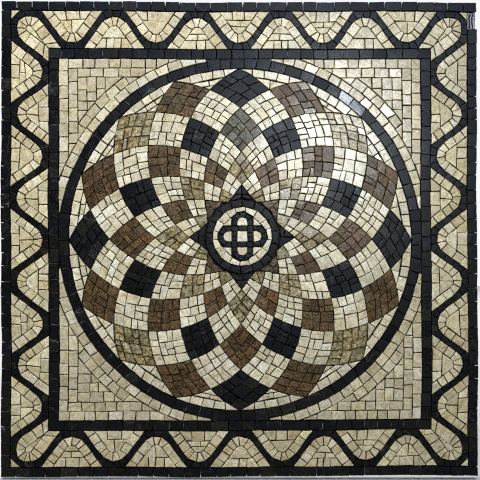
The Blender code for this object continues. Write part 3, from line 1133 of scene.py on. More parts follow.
def stone_mesh(name, members):
    """One mesh of many closed tesserae: a slightly drafted body, a rubbed-down edge
    and a nearly flat face, each tipped a little from its neighbours."""
    verts, faces, tone, edge = [], [], [], []
    for shape, stone, _, seed in members:
        rng = random.Random(f"{name} {seed:.9f}")
        line = rounded(shape, rng)
        if len(line) < 4:
            continue
        n = len(line)
        m = middle(line)
        size = math.sqrt(abs(area(line)))
        lift = rng.gauss(0.0, 0.16)
        lift = max(-0.45, min(0.30, lift))
        lean = 0.006 if stone == "black" else 0.011
        tip = (rng.gauss(0.0, lean), rng.gauss(0.0, lean))
        tip = tuple(max(-0.03, min(0.03, t)) for t in tip)
        value = rng.random()
        for spot, part in CATCH:
            if math.dist(m, spot) < 5.2:
                tip = tuple(t * part for t in facing(spot))
                value = -1.0
        wear = rng.uniform(0.22, 0.42) * min(1.0, size / 6.0)
        if stone != "cream":
            wear *= 0.7
        crown = rng.uniform(0.0, 0.035)

        def height(p):
            return STONE_FRONT + 0.25 - lift + (p[0] - m[0]) * tip[0] + (p[1] - m[1]) * tip[1]

        base = len(verts)
        rings = [
            (ring_in(line, rng.uniform(0.15, 0.45)), None, STONE_BACK),
            (line, None, STONE_FRONT + rng.uniform(4.0, 6.0)),
            (line, wear * 1.15, None),
            (ring_in(line, wear * 0.45), wear * 0.55, None),
            (ring_in(line, wear * 1.05), 0.0, None),
            (ring_in(line, size * 0.26), -crown, None),
        ]
        hue = rng.random()
        for r, (points, down, level) in enumerate(rings):
            for p in points:
                y = level if level is not None else height(p) + down
                if r in (2, 3):
                    y += rng.uniform(-0.03, 0.10)
                x, z = drift(*p)
                verts.append((x * MM, y * MM, z * MM))
        tone += [(value, hue, seed)] * (n * len(rings) + 2)
        edge += [1.0] * (5 * n) + [0.12] * n + [0.0, 1.0]
        top, foot = len(verts), len(verts) + 1
        x, z = drift(*m)
        verts.append((x * MM, (height(m) - crown * 1.15) * MM, z * MM))
        verts.append((x * MM, STONE_BACK * MM, z * MM))
        for r in range(len(rings) - 1):
            for i in range(n):
                j = (i + 1) % n
                a, b = base + r * n + i, base + r * n + j
                faces.append((a, a + n, b + n, b))
        last = base + (len(rings) - 1) * n
        for i in range(n):
            j = (i + 1) % n
            faces.append((last + i, top, last + j))
            faces.append((base + j, foot, base + i))
    mesh = bpy.data.meshes.new(name)
    mesh.from_pydata(verts, [], faces)
    mesh.update()
    data = mesh.attributes.new("tone", "FLOAT_VECTOR", "POINT")
    data.data.foreach_set("vector", np.array(tone, np.float32).ravel())
    data = mesh.attributes.new("edge", "FLOAT", "POINT")
    data.data.foreach_set("value", np.array(edge, np.float32))
    mesh.shade_smooth()
    mesh.set_sharp_from_angle(angle=math.radians(18))
    return mesh


# ---- materials ------------------------------------------------------------------
class Nodes:
    """Short names for building one node material."""

    def __init__(self, name):
        self.material = bpy.data.materials.new(name)
        self.material.use_nodes = True
        self.tree = self.material.node_tree
        self.shader = self.tree.nodes["Principled BSDF"]
        here = self.tree.nodes.new("ShaderNodeTexCoord")
        tone = self.tree.nodes.new("ShaderNodeAttribute")
        tone.attribute_name = "tone"
        parts = self.new("ShaderNodeSeparateXYZ", Vector=tone.outputs["Vector"])
        self.value, self.hue, self.seed = parts.outputs
        near = self.tree.nodes.new("ShaderNodeAttribute")
        near.attribute_name = "edge"
        self.edge = near.outputs["Fac"]
        far = self.new("ShaderNodeVectorMath", tone.outputs["Vector"])
        far.operation = "MULTIPLY"
        far.inputs[1].default_value = (3.1, 2.3, 7.7)
        turn = self.new("ShaderNodeVectorRotate", Vector=here.outputs["Object"])
        turn.rotation_type = "Y_AXIS"
        self.link(self.math("MULTIPLY", self.seed, 40.0), turn.inputs["Angle"])
        place = self.new("ShaderNodeVectorMath", turn.outputs[0], far.outputs[0])
        place.operation = "ADD"
        self.place = place.outputs[0]

    def link(self, a, b):
        self.tree.links.new(a, b)

    def new(self, kind, *first, **named):
        node = self.tree.nodes.new(kind)
        for i, value in enumerate(first):
            self.put(node.inputs[i], value)
        for key, value in named.items():
            self.put(node.inputs[key], value)
        return node

    def put(self, socket, value):
        if isinstance(value, bpy.types.NodeSocket):
            self.link(value, socket)
        else:
            socket.default_value = value

    def math(self, kind, a, b=0.0, clamp=False):
        node = self.tree.nodes.new("ShaderNodeMath")
        node.operation = kind
        node.use_clamp = clamp
        self.put(node.inputs[0], a)
        self.put(node.inputs[1], b)
        return node.outputs[0]

    def noise(self, scale, detail=4.0, rough=0.55, distort=0.0):
        node = self.new("ShaderNodeTexNoise", Vector=self.place)
        node.inputs["Scale"].default_value = scale
        node.inputs["Detail"].default_value = detail
        node.inputs["Roughness"].default_value = rough
        node.inputs["Distortion"].default_value = distort
        return node.outputs[0]

    def cells(self, scale):
        bent = self.new("ShaderNodeVectorMath", self.place)
        bent.operation = "ADD"
        wander = self.new("ShaderNodeTexNoise", Vector=self.place)
        wander.inputs["Scale"].default_value = scale * 0.9
        small = self.new("ShaderNodeVectorMath", wander.outputs["Color"])
        small.operation = "MULTIPLY"
        small.inputs[1].default_value = (0.7 / scale,) * 3
        self.link(small.outputs[0], bent.inputs[1])
        node = self.new("ShaderNodeTexVoronoi", Vector=bent.outputs[0])
        node.feature = "DISTANCE_TO_EDGE"
        node.inputs["Scale"].default_value = scale
        return node.outputs["Distance"]

    def ramp(self, value, stops):
        node = self.new("ShaderNodeValToRGB", value)
        ramp = node.color_ramp
        ramp.elements[0].position = stops[0][0]
        ramp.elements[1].position = stops[-1][0]
        for at, _ in stops[1:-1]:
            ramp.elements.new(at)
        for element, (_, colour) in zip(ramp.elements, stops):
            if not isinstance(colour, tuple):
                colour = (colour,) * 3
            element.color = (*colour, 1.0)
        return node.outputs["Color"]

    def mix(self, kind, factor, a, b):
        node = self.tree.nodes.new("ShaderNodeMix")
        node.data_type = "RGBA"
        node.blend_type = kind
        self.put(node.inputs["Factor"], factor)
        for socket, value in ((node.inputs["A"], a), (node.inputs["B"], b)):
            self.put(socket, value if isinstance(value, bpy.types.NodeSocket) else (*value, 1.0))
        return node.outputs["Result"]

    def finish(self, colour, rough_low, rough_high, bump, heights, specular=0.5, spread=0.22, tint=(1.0, 1.0, 1.0)):
        self.link(colour, self.shader.inputs["Base Color"])
        rough = self.math("ADD", self.math("MULTIPLY", self.noise(420.0, 3.0), rough_high - rough_low), rough_low)
        rub = self.math("FRACT", self.math("MULTIPLY", self.seed, 71.3))
        rub = self.math("SUBTRACT", self.math("MULTIPLY", rub, spread), 0.6 * spread)
        rough = self.math("ADD", rough, rub, True)
        polished = self.math("LESS_THAN", self.value, -0.5)
        rough = self.math("SUBTRACT", rough, self.math("MULTIPLY", polished, 0.12), True)
        self.link(rough, self.shader.inputs["Roughness"])
        self.shader.inputs["Specular IOR Level"].default_value = specular
        self.shader.inputs["Specular Tint"].default_value = (*tint, 1.0)
        node = self.tree.nodes.new("ShaderNodeBump")
        node.inputs["Strength"].default_value = bump
        node.inputs["Distance"].default_value = 0.0004
        self.link(heights, node.inputs["Height"])
        self.link(node.outputs[0], self.shader.inputs["Normal"])
        return self.material


def cream_marble(name, lift):
    n = Nodes(name)
    cloud = n.noise(150.0, 5.0, 0.6, 0.4)
    base = n.ramp(cloud, [(0.28, (0.475, 0.395, 0.21)), (0.45, (0.67, 0.588, 0.350)), (0.62, (0.765, 0.698, 0.462)), (0.8, (0.82, 0.775, 0.575))])
    grain = n.ramp(n.noise(600.0, 3.0, 0.7), [(0.34, (0.70, 0.70, 0.69)), (0.48, (1.0, 1.0, 0.99)), (0.64, (1.14, 1.15, 1.17))])
    base = n.mix("MULTIPLY", 0.9, base, grain)
    blot = n.ramp(n.noise(360.0, 3.0, 0.65, 0.5), [(0.32, (0.80, 0.79, 0.76)), (0.47, (1.0, 1.0, 1.0)), (0.68, (1.09, 1.09, 1.10))])
    base = n.mix("MULTIPLY", 0.9, base, blot)
    pits = n.ramp(n.noise(420.0, 1.0, 0.5), [(0.22, 0.45), (0.29, 1.0), (1.0, 1.0)])
    base = n.mix("MULTIPLY", 0.8, base, pits)
    vein = n.ramp(n.cells(70.0), [(0.0, (0.50, 0.40, 0.25)), (0.022, (0.86, 0.80, 0.68)), (0.05, (1.0, 1.0, 1.0))])
    seen = n.ramp(n.noise(48.0, 2.0), [(0.48, 0.0), (0.60, 0.75)])
    base = n.mix("MULTIPLY", seen, base, vein)
    pale = n.ramp(n.value, [(0.0, (0.80, 0.78, 0.73)), (0.25, (0.90, 0.885, 0.85)), (0.7, (1.0, 0.99, 0.97)), (0.88, (1.10, 1.11, 1.12)), (1.0, (1.20, 1.22, 1.27))])
    base = n.mix("MULTIPLY", 1.0, base, pale)
    warm = n.ramp(n.hue, [(0.0, (1.03, 1.00, 0.93)), (0.5, (1.0, 1.0, 1.0)), (1.0, (0.98, 1.0, 1.06))])
    base = n.mix("MULTIPLY", 1.0, base, warm)
    base = n.mix("MULTIPLY", 1.0, base, lift)
    # paler edges and sides: partly wear, partly a painted highlight along each stone's rim
    worn_and_highlit_edge = n.ramp(n.edge, [(0.62, (1.0, 1.0, 1.0)), (1.0, (1.09, 1.09, 1.10))])
    base = n.mix("MULTIPLY", 1.0, base, worn_and_highlit_edge)
    return n.finish(base, 0.15, 0.26, 0.10, n.noise(900.0, 4.0, 0.7), 0.32, 0.12)


def black_marble(name, gloss, spread):
    n = Nodes(name)
    cloud = n.noise(170.0, 4.0, 0.6, 0.5)
    base = n.ramp(cloud, [(0.3, (0.0009, 0.0009, 0.0008)), (0.55, (0.0016, 0.0016, 0.0015)), (0.8, (0.0080, 0.0082, 0.0076))])
    shade = n.ramp(n.hue, [(0.0, (0.0, 0.0004, 0.0032)), (0.45, (0.0003, 0.0003, 0.0008)), (0.80, (0.0022, 0.0018, 0.0005)), (1.0, (0.0095, 0.0080, 0.0042))])
    base = n.mix("ADD", n.ramp(n.noise(300.0, 3.0, 0.7), [(0.36, 0.0), (0.60, 1.0)]), base, shade)
    patch = n.ramp(n.noise(430.0, 3.0, 0.7), [(0.50, (0.0, 0.0, 0.0)), (0.58, (0.0045, 0.0036, 0.0004)), (0.68, (0.0170, 0.0130, 0.0030))])
    base = n.mix("ADD", n.ramp(n.hue, [(0.15, 0.25), (0.80, 1.0)]), base, patch)
    speck = n.ramp(n.noise(620.0, 3.0, 0.7), [(0.42, (0.0, 0.0, 0.0)), (0.55, (0.0016, 0.0017, 0.0018)), (0.68, (0.020, 0.021, 0.021))])
    base = n.mix("ADD", 1.0, base, speck)
    vein = n.ramp(n.cells(55.0), [(0.0, (0.16, 0.15, 0.13)), (0.012, (0.03, 0.03, 0.03)), (0.03, (0.0, 0.0, 0.0))])
    seen = n.ramp(n.noise(40.0, 2.0), [(0.54, 0.0), (0.66, 0.55)])
    base = n.mix("ADD", seen, base, vein)
    spots = n.ramp(n.noise(750.0, 2.0, 0.6), [(0.66, 0.0), (0.76, 0.05)])
    base = n.mix("ADD", 0.7, base, spots)
    age = n.ramp(n.value, [(0.0, (0.7, 0.7, 0.7)), (0.7, (1.0, 1.0, 1.0)), (0.92, (1.6, 1.6, 1.55)), (1.0, (2.6, 2.5, 2.3))])
    base = n.mix("MULTIPLY", 1.0, base, age)
    return n.finish(base, 0.27, 0.38, 0.10, n.noise(700.0, 3.0, 0.6), gloss, spread, (0.92, 0.95, 0.96))


def brown_marble(name, dark, mid, light, rust):
    n = Nodes(name)
    cloud = n.noise(210.0, 6.0, 0.65, 0.6)
    base = n.ramp(cloud, [(0.30, dark), (0.48, mid), (0.62, mid), (0.80, light)])
    red = n.ramp(n.hue, [(0.45, 0.0), (0.95, 0.65)])
    base = n.mix("MIX", red, base, rust)
    speck = n.ramp(n.noise(520.0, 3.0, 0.75), [(0.38, (0.28, 0.28, 0.28)), (0.5, (1.0, 1.0, 1.0)), (0.62, (1.80, 1.88, 2.05))])
    base = n.mix("MULTIPLY", 0.9, base, speck)
    blotch = n.ramp(n.noise(330.0, 4.0, 0.7, 0.8), [(0.36, (0.26, 0.30, 0.38)), (0.50, (1.0, 1.0, 1.0)), (0.68, (1.65, 1.50, 1.25))])
    base = n.mix("MULTIPLY", 0.85, base, blotch)
    vein = n.ramp(n.cells(95.0), [(0.0, (0.22, 0.17, 0.11)), (0.02, (0.06, 0.045, 0.03)), (0.045, (0.0, 0.0, 0.0))])
    seen = n.ramp(n.noise(60.0, 2.0), [(0.5, 0.0), (0.66, 0.55)])
    base = n.mix("ADD", seen, base, vein)
    age = n.ramp(n.value, [(0.0, 0.68), (0.5, 1.0), (1.0, 1.30)])
    base = n.mix("MULTIPLY", 1.0, base, age)
    return n.finish(base, 0.20, 0.34, 0.12, n.noise(700.0, 3.0, 0.6), 0.20, 0.16, (1.0, 1.0, 0.90))


def green_marble():
    n = Nodes("olive_marble_honed")
    cloud = n.noise(330.0, 5.0, 0.7, 0.9)
    base = n.ramp(cloud, [(0.32, (0.092, 0.067, 0.026)), (0.43, (0.262, 0.215, 0.096)), (0.54, (0.485, 0.425, 0.225)), (0.70, (0.78, 0.72, 0.47))])
    # darker brown in patches along each stone's edges and sides
    dark_edge_patches = n.math("MULTIPLY", n.edge, n.ramp(n.noise(240.0, 3.0, 0.6), [(0.32, 0.0), (0.62, 1.0)]))
    rim = n.ramp(dark_edge_patches, [(0.28, (1.0, 1.0, 1.0)), (0.72, (0.50, 0.38, 0.22))])
    base = n.mix("MULTIPLY", 0.9, base, rim)
    stain = n.ramp(n.noise(150.0, 3.0, 0.6, 1.2), [(0.38, (0.46, 0.42, 0.36)), (0.54, (1.0, 1.0, 1.0))])
    fleck = n.ramp(n.noise(640.0, 3.0, 0.7), [(0.38, 0.58), (0.5, 1.0), (0.63, 1.32)])
    base = n.mix("MULTIPLY", 0.9, base, fleck)
    base = n.mix("MULTIPLY", 0.8, base, stain)
    vein = n.ramp(n.cells(160.0), [(0.0, (0.30, 0.24, 0.14)), (0.05, (0.9, 0.88, 0.84)), (0.10, (1.0, 1.0, 1.0))])
    base = n.mix("MULTIPLY", 0.7, base, vein)
    age = n.ramp(n.value, [(0.0, (0.72, 0.70, 0.66)), (0.5, (0.95, 0.95, 0.95)), (1.0, (1.22, 1.22, 1.20))])
    base = n.mix("MULTIPLY", 1.0, base, age)
    warm = n.ramp(n.hue, [(0.0, (1.08, 1.0, 0.86)), (1.0, (0.94, 1.0, 1.08))])
    base = n.mix("MULTIPLY", 1.0, base, warm)
    return n.finish(base, 0.17, 0.30, 0.12, n.noise(700.0, 3.0, 0.6), 0.34, 0.16, (1.0, 0.98, 0.88))


def glue(name, low, high):
    n = Nodes(name)
    base = n.ramp(n.noise(260.0, 5.0, 0.65), [(0.3, low), (0.7, high)])
    base = n.mix("MULTIPLY", 0.6, base, n.ramp(n.noise(1500.0, 2.0), [(0.3, 0.75), (0.7, 1.1)]))
    return n.finish(base, 0.6, 0.85, 0.6, n.noise(500.0, 4.0, 0.65), 0.3)


def combed_glue(name):
    """White on the ridges, with painted shade darkening it towards the bottom of the slots between them."""
    n = Nodes(name)
    here = n.tree.nodes.new("ShaderNodeTexCoord")
    x, y, z = n.new("ShaderNodeSeparateXYZ", Vector=here.outputs["Object"]).outputs
    rise = n.math("DIVIDE", n.math("SUBTRACT", -2.0 * MM, y), 3.2 * MM, True)
    # painted shade: the glue's colour darkens with depth, standing in for the shade in the deep slots
    base = n.ramp(rise, [(0.0, (0.012, 0.011, 0.010)), (0.35, (0.10, 0.10, 0.095)), (0.7, (0.66, 0.67, 0.66)), (1.0, (0.88, 0.89, 0.88))])
    fleck = n.ramp(n.noise(600.0, 4.0, 0.65), [(0.3, 0.72), (0.6, 1.0)])
    base = n.mix("MULTIPLY", 0.8, base, fleck)
    return n.finish(base, 0.6, 0.85, 0.5, n.noise(500.0, 4.0, 0.65), 0.2)


def bed(name):
    """Pale adhesive at the back and under the outer course; on its front inside the outer course
    it is painted near-black as painted shade, where it shows at the foot of the inner joints."""
    n = Nodes(name)
    pale = n.ramp(n.noise(260.0, 5.0, 0.65), [(0.3, (0.50, 0.50, 0.47)), (0.7, (0.70, 0.71, 0.70))])
    # painted shade: near-black colour on the film's front, standing in for the shade at the foot of the deep joints
    painted_joint_shade = n.ramp(n.noise(300.0, 4.0, 0.6), [(0.3, (0.020, 0.016, 0.011)), (0.7, (0.050, 0.041, 0.028))])
    here = n.tree.nodes.new("ShaderNodeTexCoord")
    x, y, z = n.new("ShaderNodeSeparateXYZ", Vector=here.outputs["Object"]).outputs
    reach = n.math("MAXIMUM", n.math("ABSOLUTE", x), n.math("ABSOLUTE", z))
    inner = n.math("LESS_THAN", reach, (BAND_OUT - 0.2) * MM)
    front = n.math("LESS_THAN", y, -0.9 * MM)
    base = n.mix("MIX", n.math("MULTIPLY", inner, front), pale, painted_joint_shade)
    return n.finish(base, 0.6, 0.85, 0.5, n.noise(500.0, 4.0, 0.65), 0.2)


MATERIALS = {
    "cream": (cream_marble("cream_limestone_honed", (0.935, 0.935, 0.94)), "cream_limestone"),
    "pale": (cream_marble("pale_limestone_honed", (1.045, 1.035, 0.995)), "cream_limestone"),
    "ivory": (cream_marble("ivory_limestone_honed", (1.10, 1.13, 1.22)), "cream_limestone"),
    "black": (black_marble("black_marble_honed", 0.15, 0.14), "black_marble"),
    "polished": (black_marble("black_marble_polished", 0.46, 0.0), "black_marble"),
    "brown": (brown_marble("brown_marble_honed", (0.040, 0.024, 0.009), (0.103, 0.066, 0.026), (0.170, 0.125, 0.062), (0.128, 0.066, 0.023)), "brown_marble"),
    "taupe": (brown_marble("taupe_marble_honed", (0.042, 0.036, 0.020), (0.090, 0.079, 0.045), (0.150, 0.135, 0.082), (0.086, 0.072, 0.040)), "brown_marble"),
    "umber": (brown_marble("umber_marble_honed", (0.044, 0.033, 0.015), (0.105, 0.079, 0.037), (0.170, 0.136, 0.072), (0.112, 0.066, 0.025)), "brown_marble"),
    "green": (green_marble(), "green_marble"),
}
COMBED = combed_glue("combed_adhesive")
SEAM_GLUE = glue("seam_adhesive", (0.40, 0.40, 0.39), (0.74, 0.75, 0.75))
FIBRE = glue("glass_fibre_strand", (0.62, 0.64, 0.64), (0.80, 0.82, 0.82))


def add(name, mesh, material, slot):
    obj = bpy.data.objects.new(name, mesh)
    bpy.context.scene.collection.objects.link(obj)
    mesh.materials.append(material)
    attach(obj, "root")
    return obj


# ---- which CAD node each group of stones stands for -------------------------------
def node_of(group):
    if group.endswith("_border_stones"):
        return "outer_border"
    if group.endswith("_square_stones"):
        return "inner_border"
    if "_wave_" in group:
        return "wave_line"
    if "lobe" in group or "corner_tip" in group:
        return group.removesuffix("_stones").removesuffix("_stone")
    if "_field_" in group:
        return group.split("_field_")[0] + "_corner_field"
    if group.startswith("circle_"):
        return "circle_band"
    if group.startswith("rosette_"):
        return "rosette_field"
    if group.startswith("star_"):
        return "centre_star"
    return "centre_roundel"


GROUPS = {}
for tessera in TESSERAE:
    shape, stone, group = tessera[:3]
    if stone == "black" and any(math.dist(middle(shape), spot) < 5.2 for spot, _ in CATCH):
        stone, group = "polished", group + "_polished"
    GROUPS.setdefault((group, stone), []).append(tessera)
for (group, stone), members in GROUPS.items():
    if stone == "cream" and node_of(group) in ("rosette_field", "centre_roundel"):
        stone = "ivory"  # the palest cream is kept for the picture in the circle
    elif stone == "cream" and "field" not in group:
        stone = "pale"
    material, slot = MATERIALS[stone]
    piece = add(group, stone_mesh(group, members), material, slot)
    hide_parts(node_of(group))


# ---- mesh backing -----------------------------------------------------------------
def boxes(name, rows, wobble, seed, steps):
    """Long flat strands, each a closed bar along X or Z with a little sway.
    A row is (along 'x' or 'z', place, start, end, half width, y low, y high)."""
    rng = random.Random(seed)
    verts, faces = [], []
    for along, place, start, end, half, y0, y1 in rows:
        base = len(verts)
        sway = rng.uniform(0, 6.28)
        wave = rng.uniform(14.0, 24.0)
        off = rng.uniform(-0.25, 0.25)
        count = max(1, int(steps * (end - start) / 500.0))
        for i in range(count + 1):
            t = start + (end - start) * i / count
            c = place + off + wobble * math.sin(t / wave + sway)
            for w, y in ((-half, y0), (half, y0), (half, y1), (-half, y1)):
                a, b = (t, c + w) if along == "x" else (c + w, t)
                a = max(-MESH_HALF, min(MESH_HALF, a))
                b = max(-MESH_HALF, min(MESH_HALF, b))
                verts.append((a * MM, y * MM, b * MM))
        for i in range(count):
            for k in range(4):
                a, b = base + i * 4 + k, base + i * 4 + (k + 1) % 4
                faces.append((a, b, b + 4, a + 4))
        faces.append(tuple(base + k for k in (3, 2, 1, 0)))
        faces.append(tuple(base + count * 4 + k for k in range(4)))
    mesh = bpy.data.meshes.new(name)
    mesh.from_pydata(verts, [], faces)
    mesh.update()
    return mesh


def relief(name, x0, x1, z0, z1, nx, nz, height, foot):
    """A closed slab whose front is pushed out by height(x, z)."""
    verts, faces = [], []
    for j in range(nz + 1):
        for i in range(nx + 1):
            x, z = x0 + (x1 - x0) * i / nx, z0 + (z1 - z0) * j / nz
            verts.append((x * MM, height(x, z) * MM, z * MM))
    count = len(verts)
    for j in range(nz + 1):
        for i in range(nx + 1):
            x, z = x0 + (x1 - x0) * i / nx, z0 + (z1 - z0) * j / nz
            verts.append((x * MM, foot * MM, z * MM))
    row = nx + 1
    for j in range(nz):
        for i in range(nx):
            a = j * row + i
            faces.append((a, a + 1, a + 1 + row, a + row))
            b = a + count
            faces.append((b, b + row, b + 1 + row, b + 1))
    for i in range(nx):
        faces.append((i, i + count, i + 1 + count, i + 1))
        a = nz * row + i
        faces.append((a, a + 1, a + 1 + count, a + count))
    for j in range(nz):
        a = j * row
        faces.append((a, a + row, a + row + count, a + count))
        a = j * row + nx
        faces.append((a, a + count, a + row + count, a + row))
    mesh = bpy.data.meshes.new(name)
    mesh.from_pydata(verts, [], faces)
    mesh.update()
    mesh.shade_smooth()
    mesh.set_sharp_from_angle(angle=math.radians(45))
    return mesh


def film_height(x, z):
    wave = math.sin(x / 3.1 + math.sin(z / 7.0)) * math.sin(z / 2.7 + math.sin(x / 9.0))
    return -1.36 - 0.10 * wave


film = add("adhesive_film", relief("adhesive_film", -MESH_HALF, MESH_HALF, -MESH_HALF, MESH_HALF, 150, 150, film_height, -0.42), bed("joint_bed_adhesive"), "glass_mesh")
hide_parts("mesh_backing")
PITCH = 5.0
strands = []
for i in range(-49, 50):
    strands.append(("z", i * PITCH, -MESH_HALF, MESH_HALF, 0.55, -0.45, -0.02))
    strands.append(("x", i * PITCH, -MESH_HALF, MESH_HALF, 0.42, -0.62, -0.16))
net = add("glass_fibre_net", boxes("glass_fibre_net", strands, 0.22, "net", 40), FIBRE, "glass_mesh")
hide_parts("mesh_backing")

# adhesive that has risen between the black stones; it stops below their faces
seams = []
seam_rng = random.Random("seams")
for side in range(4):
    edge = PANEL_HALF - 0.6
    share = (0.62, 0.40, 0.40, 0.20)[side]
    along = sorted(
        {
            round(max(p[(0, 1)[side % 2]] for p in shape), 2)
            for shape, _, group, _ in TESSERAE
            if group == f"{SIDES[side]}_border_stones"
        }
    )
    for place in along[:-1]:
        if seam_rng.random() > share:
            continue
        rise = -seam_rng.uniform(*((7.0, 10.6), (3.0, 7.5), (3.0, 9.0), (2.5, 6.5))[side])
        inner = seam_rng.uniform(BAND_OUT + 0.5, BAND_OUT + 4.0)
        outer_end = edge - 0.3
        c = place + 0.35
        half = seam_rng.uniform(0.3, 0.5)
        if side == 0:
            seams.append(("z", c, inner, outer_end, half, rise, -1.2))
        elif side == 2:
            seams.append(("z", c, -outer_end, -inner, half, rise, -1.2))
        elif side == 1:
            seams.append(("x", c, inner, outer_end, half, rise, -1.2))
        else:
            seams.append(("x", c, -outer_end, -inner, half, rise, -1.2))
seam_mesh = boxes("adhesive_seams", seams, 0.06, "seam sway", 400)
for v in seam_mesh.vertices:
    x, z = drift(v.co.x / MM, v.co.z / MM)
    v.co.x, v.co.z = x * MM, z * MM
add("adhesive_seams", seam_mesh, SEAM_GLUE, "glass_mesh")


def thin_seams():
    """Slips of the same adhesive pressed up in some joints further in, most
    of them low in the circle; each stops a little below the faces."""
    rng = random.Random("thin seams")
    verts, faces = [], []
    for p, q in BLACK_JOINTS:
        x, z = (p[0] + q[0]) / 2, (p[1] + q[1]) / 2
        if math.hypot(x, z) < INNER_IN:
            share = 0.75 if z < 0 and x < 0 else 0.14
        else:
            share = 0.50 if z < -INNER_IN else 0.16
        pick, near, far = rng.random(), rng.uniform(0.06, 0.16), rng.uniform(0.84, 0.94)
        rise, half, bow = rng.uniform(9.6, 10.9), rng.uniform(0.26, 0.40), rng.uniform(-0.12, 0.12)
        if pick > share:
            continue
        length = math.dist(p, q)
        n = (-(q[1] - p[1]) / length, (q[0] - p[0]) / length)
        base, steps = len(verts), 5
        for i in range(steps + 1):
            t = near + (far - near) * i / steps
            off = bow * math.sin(math.pi * i / steps)
            drop = rng.uniform(0.0, 0.9) + (1.2 if i in (0, steps) else 0.0)
            for w, y in ((-half, drop - rise), (half, drop - rise), (half, -1.2), (-half, -1.2)):
                a = p[0] + (q[0] - p[0]) * t + n[0] * (w + off)
                b = p[1] + (q[1] - p[1]) * t + n[1] * (w + off)
                a, b = drift(a, b)
                verts.append((a * MM, y * MM, b * MM))
        for i in range(steps):
            for k in range(4):
                a, b = base + i * 4 + k, base + i * 4 + (k + 1) % 4
                faces.append((a, a + 4, b + 4, b))
        faces.append(tuple(base + k for k in (0, 1, 2, 3)))
        faces.append(tuple(base + steps * 4 + k for k in (3, 2, 1, 0)))
    mesh = bpy.data.meshes.new("thin_seams")
    mesh.from_pydata(verts, [], faces)
    mesh.update()
    shape = bmesh.new()
    shape.from_mesh(mesh)
    bmesh.ops.recalc_face_normals(shape, faces=shape.faces)
    shape.to_mesh(mesh)
    shape.free()
    return mesh


add("thin_seams", thin_seams(), SEAM_GLUE, "glass_mesh")


def residue(x, z):
    """What is left where one stone came away: glue combed into upright
    ridges with deep slots between them."""
    u, w = (x - 239.6) / 9.6, (z - 222.4) / 17.2
    bend = 0.5 * math.sin(z / 2.3 + 1.0) + 0.3 * math.sin(z / 0.9)
    ridge = max(0.0, 0.35 + 0.65 * math.cos((x + bend * 0.5 - 241.5) * math.tau / 2.9)) ** 0.8
    rough = 0.5 + 0.5 * math.sin(x * 2.9 + 1.3 * math.sin(z * 1.7)) * math.sin(z * 1.3 + 0.6)
    rim = math.exp(-((min(u, 1 - u) / 0.10) ** 2)) + math.exp(-((min(w, 1 - w) / 0.08) ** 2))
    ends = max(0.0, min(1.0, min(w, 1 - w) * 9))
    body = (5.6 * ridge * (0.55 + 0.45 * rough) + 0.9 * rough) * ends + 4.4 * min(1.0, rim) * (0.6 + 0.4 * rough)
    return -1.3 - min(8.8, 1.25 * body)


glue_patch = relief("glue_residue", 239.8, 248.9, 222.6, 239.4, 46, 84, residue, -1.1)
for v in glue_patch.vertices:
    x, z = drift(v.co.x / MM, v.co.z / MM)
    v.co.x, v.co.z = x * MM, z * MM
add("glue_residue", glue_patch, COMBED, "glass_mesh")

# ---- studio ---------------------------------------------------------------------
FLOOR_Z = -0.2516
floor_mesh = bpy.data.meshes.new("floor")
floor_mesh.from_pydata([(-6, -6, FLOOR_Z), (6, -6, FLOOR_Z), (6, 6, FLOOR_Z), (-6, 6, FLOOR_Z)], [], [(0, 1, 2, 3)])
floor = bpy.data.objects.new("floor", floor_mesh)
bpy.context.scene.collection.objects.link(floor)
paint = bpy.data.materials.new("floor_paint")
paint.use_nodes = True
tree = paint.node_tree
shader = tree.nodes["Principled BSDF"]
cloud = tree.nodes.new("ShaderNodeTexNoise")
cloud.inputs["Scale"].default_value = 3.0
tint = tree.nodes.new("ShaderNodeValToRGB")
tint.color_ramp.elements[0].color = (0.52, 0.52, 0.51, 1)
tint.color_ramp.elements[1].color = (0.56, 0.56, 0.55, 1)
tree.links.new(cloud.outputs[0], tint.inputs[0])
tree.links.new(tint.outputs[0], shader.inputs["Base Color"])
shader.inputs["Roughness"].default_value = 0.9
floor_mesh.materials.append(paint)

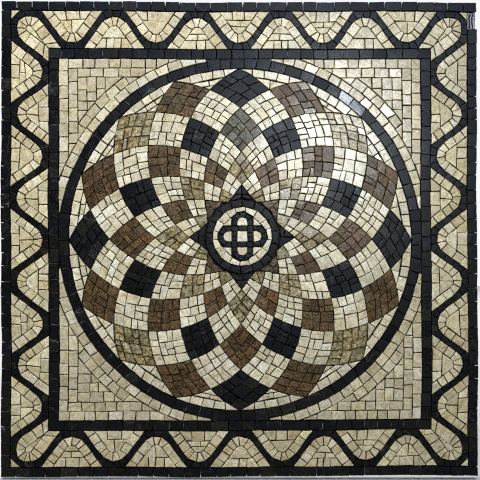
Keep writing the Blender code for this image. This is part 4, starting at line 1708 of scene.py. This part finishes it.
world = bpy.data.worlds.new("studio")
bpy.context.scene.world = world
world.use_nodes = True
wt = world.node_tree
back = wt.nodes["Background"]
back.inputs["Color"].default_value = (0.95, 0.92, 0.84, 1.0)
back.inputs["Strength"].default_value = 0.06
seen = wt.nodes.new("ShaderNodeBackground")
seen.inputs["Color"].default_value = (0.93, 0.95, 0.97, 1.0)
seen.inputs["Strength"].default_value = 1.0
path = wt.nodes.new("ShaderNodeLightPath")
both = wt.nodes.new("ShaderNodeMixShader")
wt.links.new(path.outputs["Is Camera Ray"], both.inputs[0])
wt.links.new(back.outputs[0], both.inputs[1])
wt.links.new(seen.outputs[0], both.inputs[2])
wt.links.new(both.outputs[0], wt.nodes["World Output"].inputs["Surface"])


def lamp(name, place, aim, size, power, colour, spread=180.0):
    data = bpy.data.lights.new(name, "AREA")
    data.shape = "RECTANGLE"
    data.size, data.size_y = size
    data.energy = power
    data.color = colour
    data.spread = math.radians(spread)
    obj = bpy.data.objects.new(name, data)
    bpy.context.scene.collection.objects.link(obj)
    obj.location = place
    obj.rotation_euler = (Vector(aim) - Vector(place)).to_track_quat("-Z", "Y").to_euler()
    return obj


CAMERA_Y = -1.45
lamp("key", (-0.42, -0.58, 0.88), (-0.16, 0.0, 0.08), (0.6, 0.34), 2.68, (0.99, 0.98, 1.11), 90.0)
lamp("window", tuple(v * MM for v in WINDOW), (0.094, 0.0, 0.112), (0.16, 0.20), 0.265, (0.92, 0.98, 1.10), 32.0)
lamp("sky", (0.20, -1.9, 0.68), (0.06, 0.0, 0.15), (1.2, 0.46), 1.55, (0.66, 0.87, 1.26), 90.0)
lamp("rim", (-0.9, 1.3, 1.1), (0.0, 0.0, 0.0), (1.2, 1.2), 8.0, (1.0, 1.0, 1.0))
lamp("wash", (0.0, 3.4, 2.6), (0.0, 3.4, 0.0), (5.0, 5.0), 280.0, (0.97, 0.99, 1.0))

camera_data = bpy.data.cameras.new("camera")
camera = bpy.data.objects.new("camera", camera_data)
bpy.context.scene.collection.objects.link(camera)
camera.location = (0.00095, CAMERA_Y, -0.00084)
camera.rotation_euler = (math.radians(90), 0.0, 0.0)
camera_data.sensor_fit = "HORIZONTAL"
camera_data.sensor_width = 36.0
distance = -CAMERA_Y + STONE_FRONT * MM
camera_data.lens = 36.0 * distance / 0.5036
bpy.context.scene.camera = camera

view = bpy.context.scene.view_settings
view.view_transform = "Standard"
view.look = "None"
view.exposure = 0.0
bpy.context.scene.cycles.filter_width = 1.15
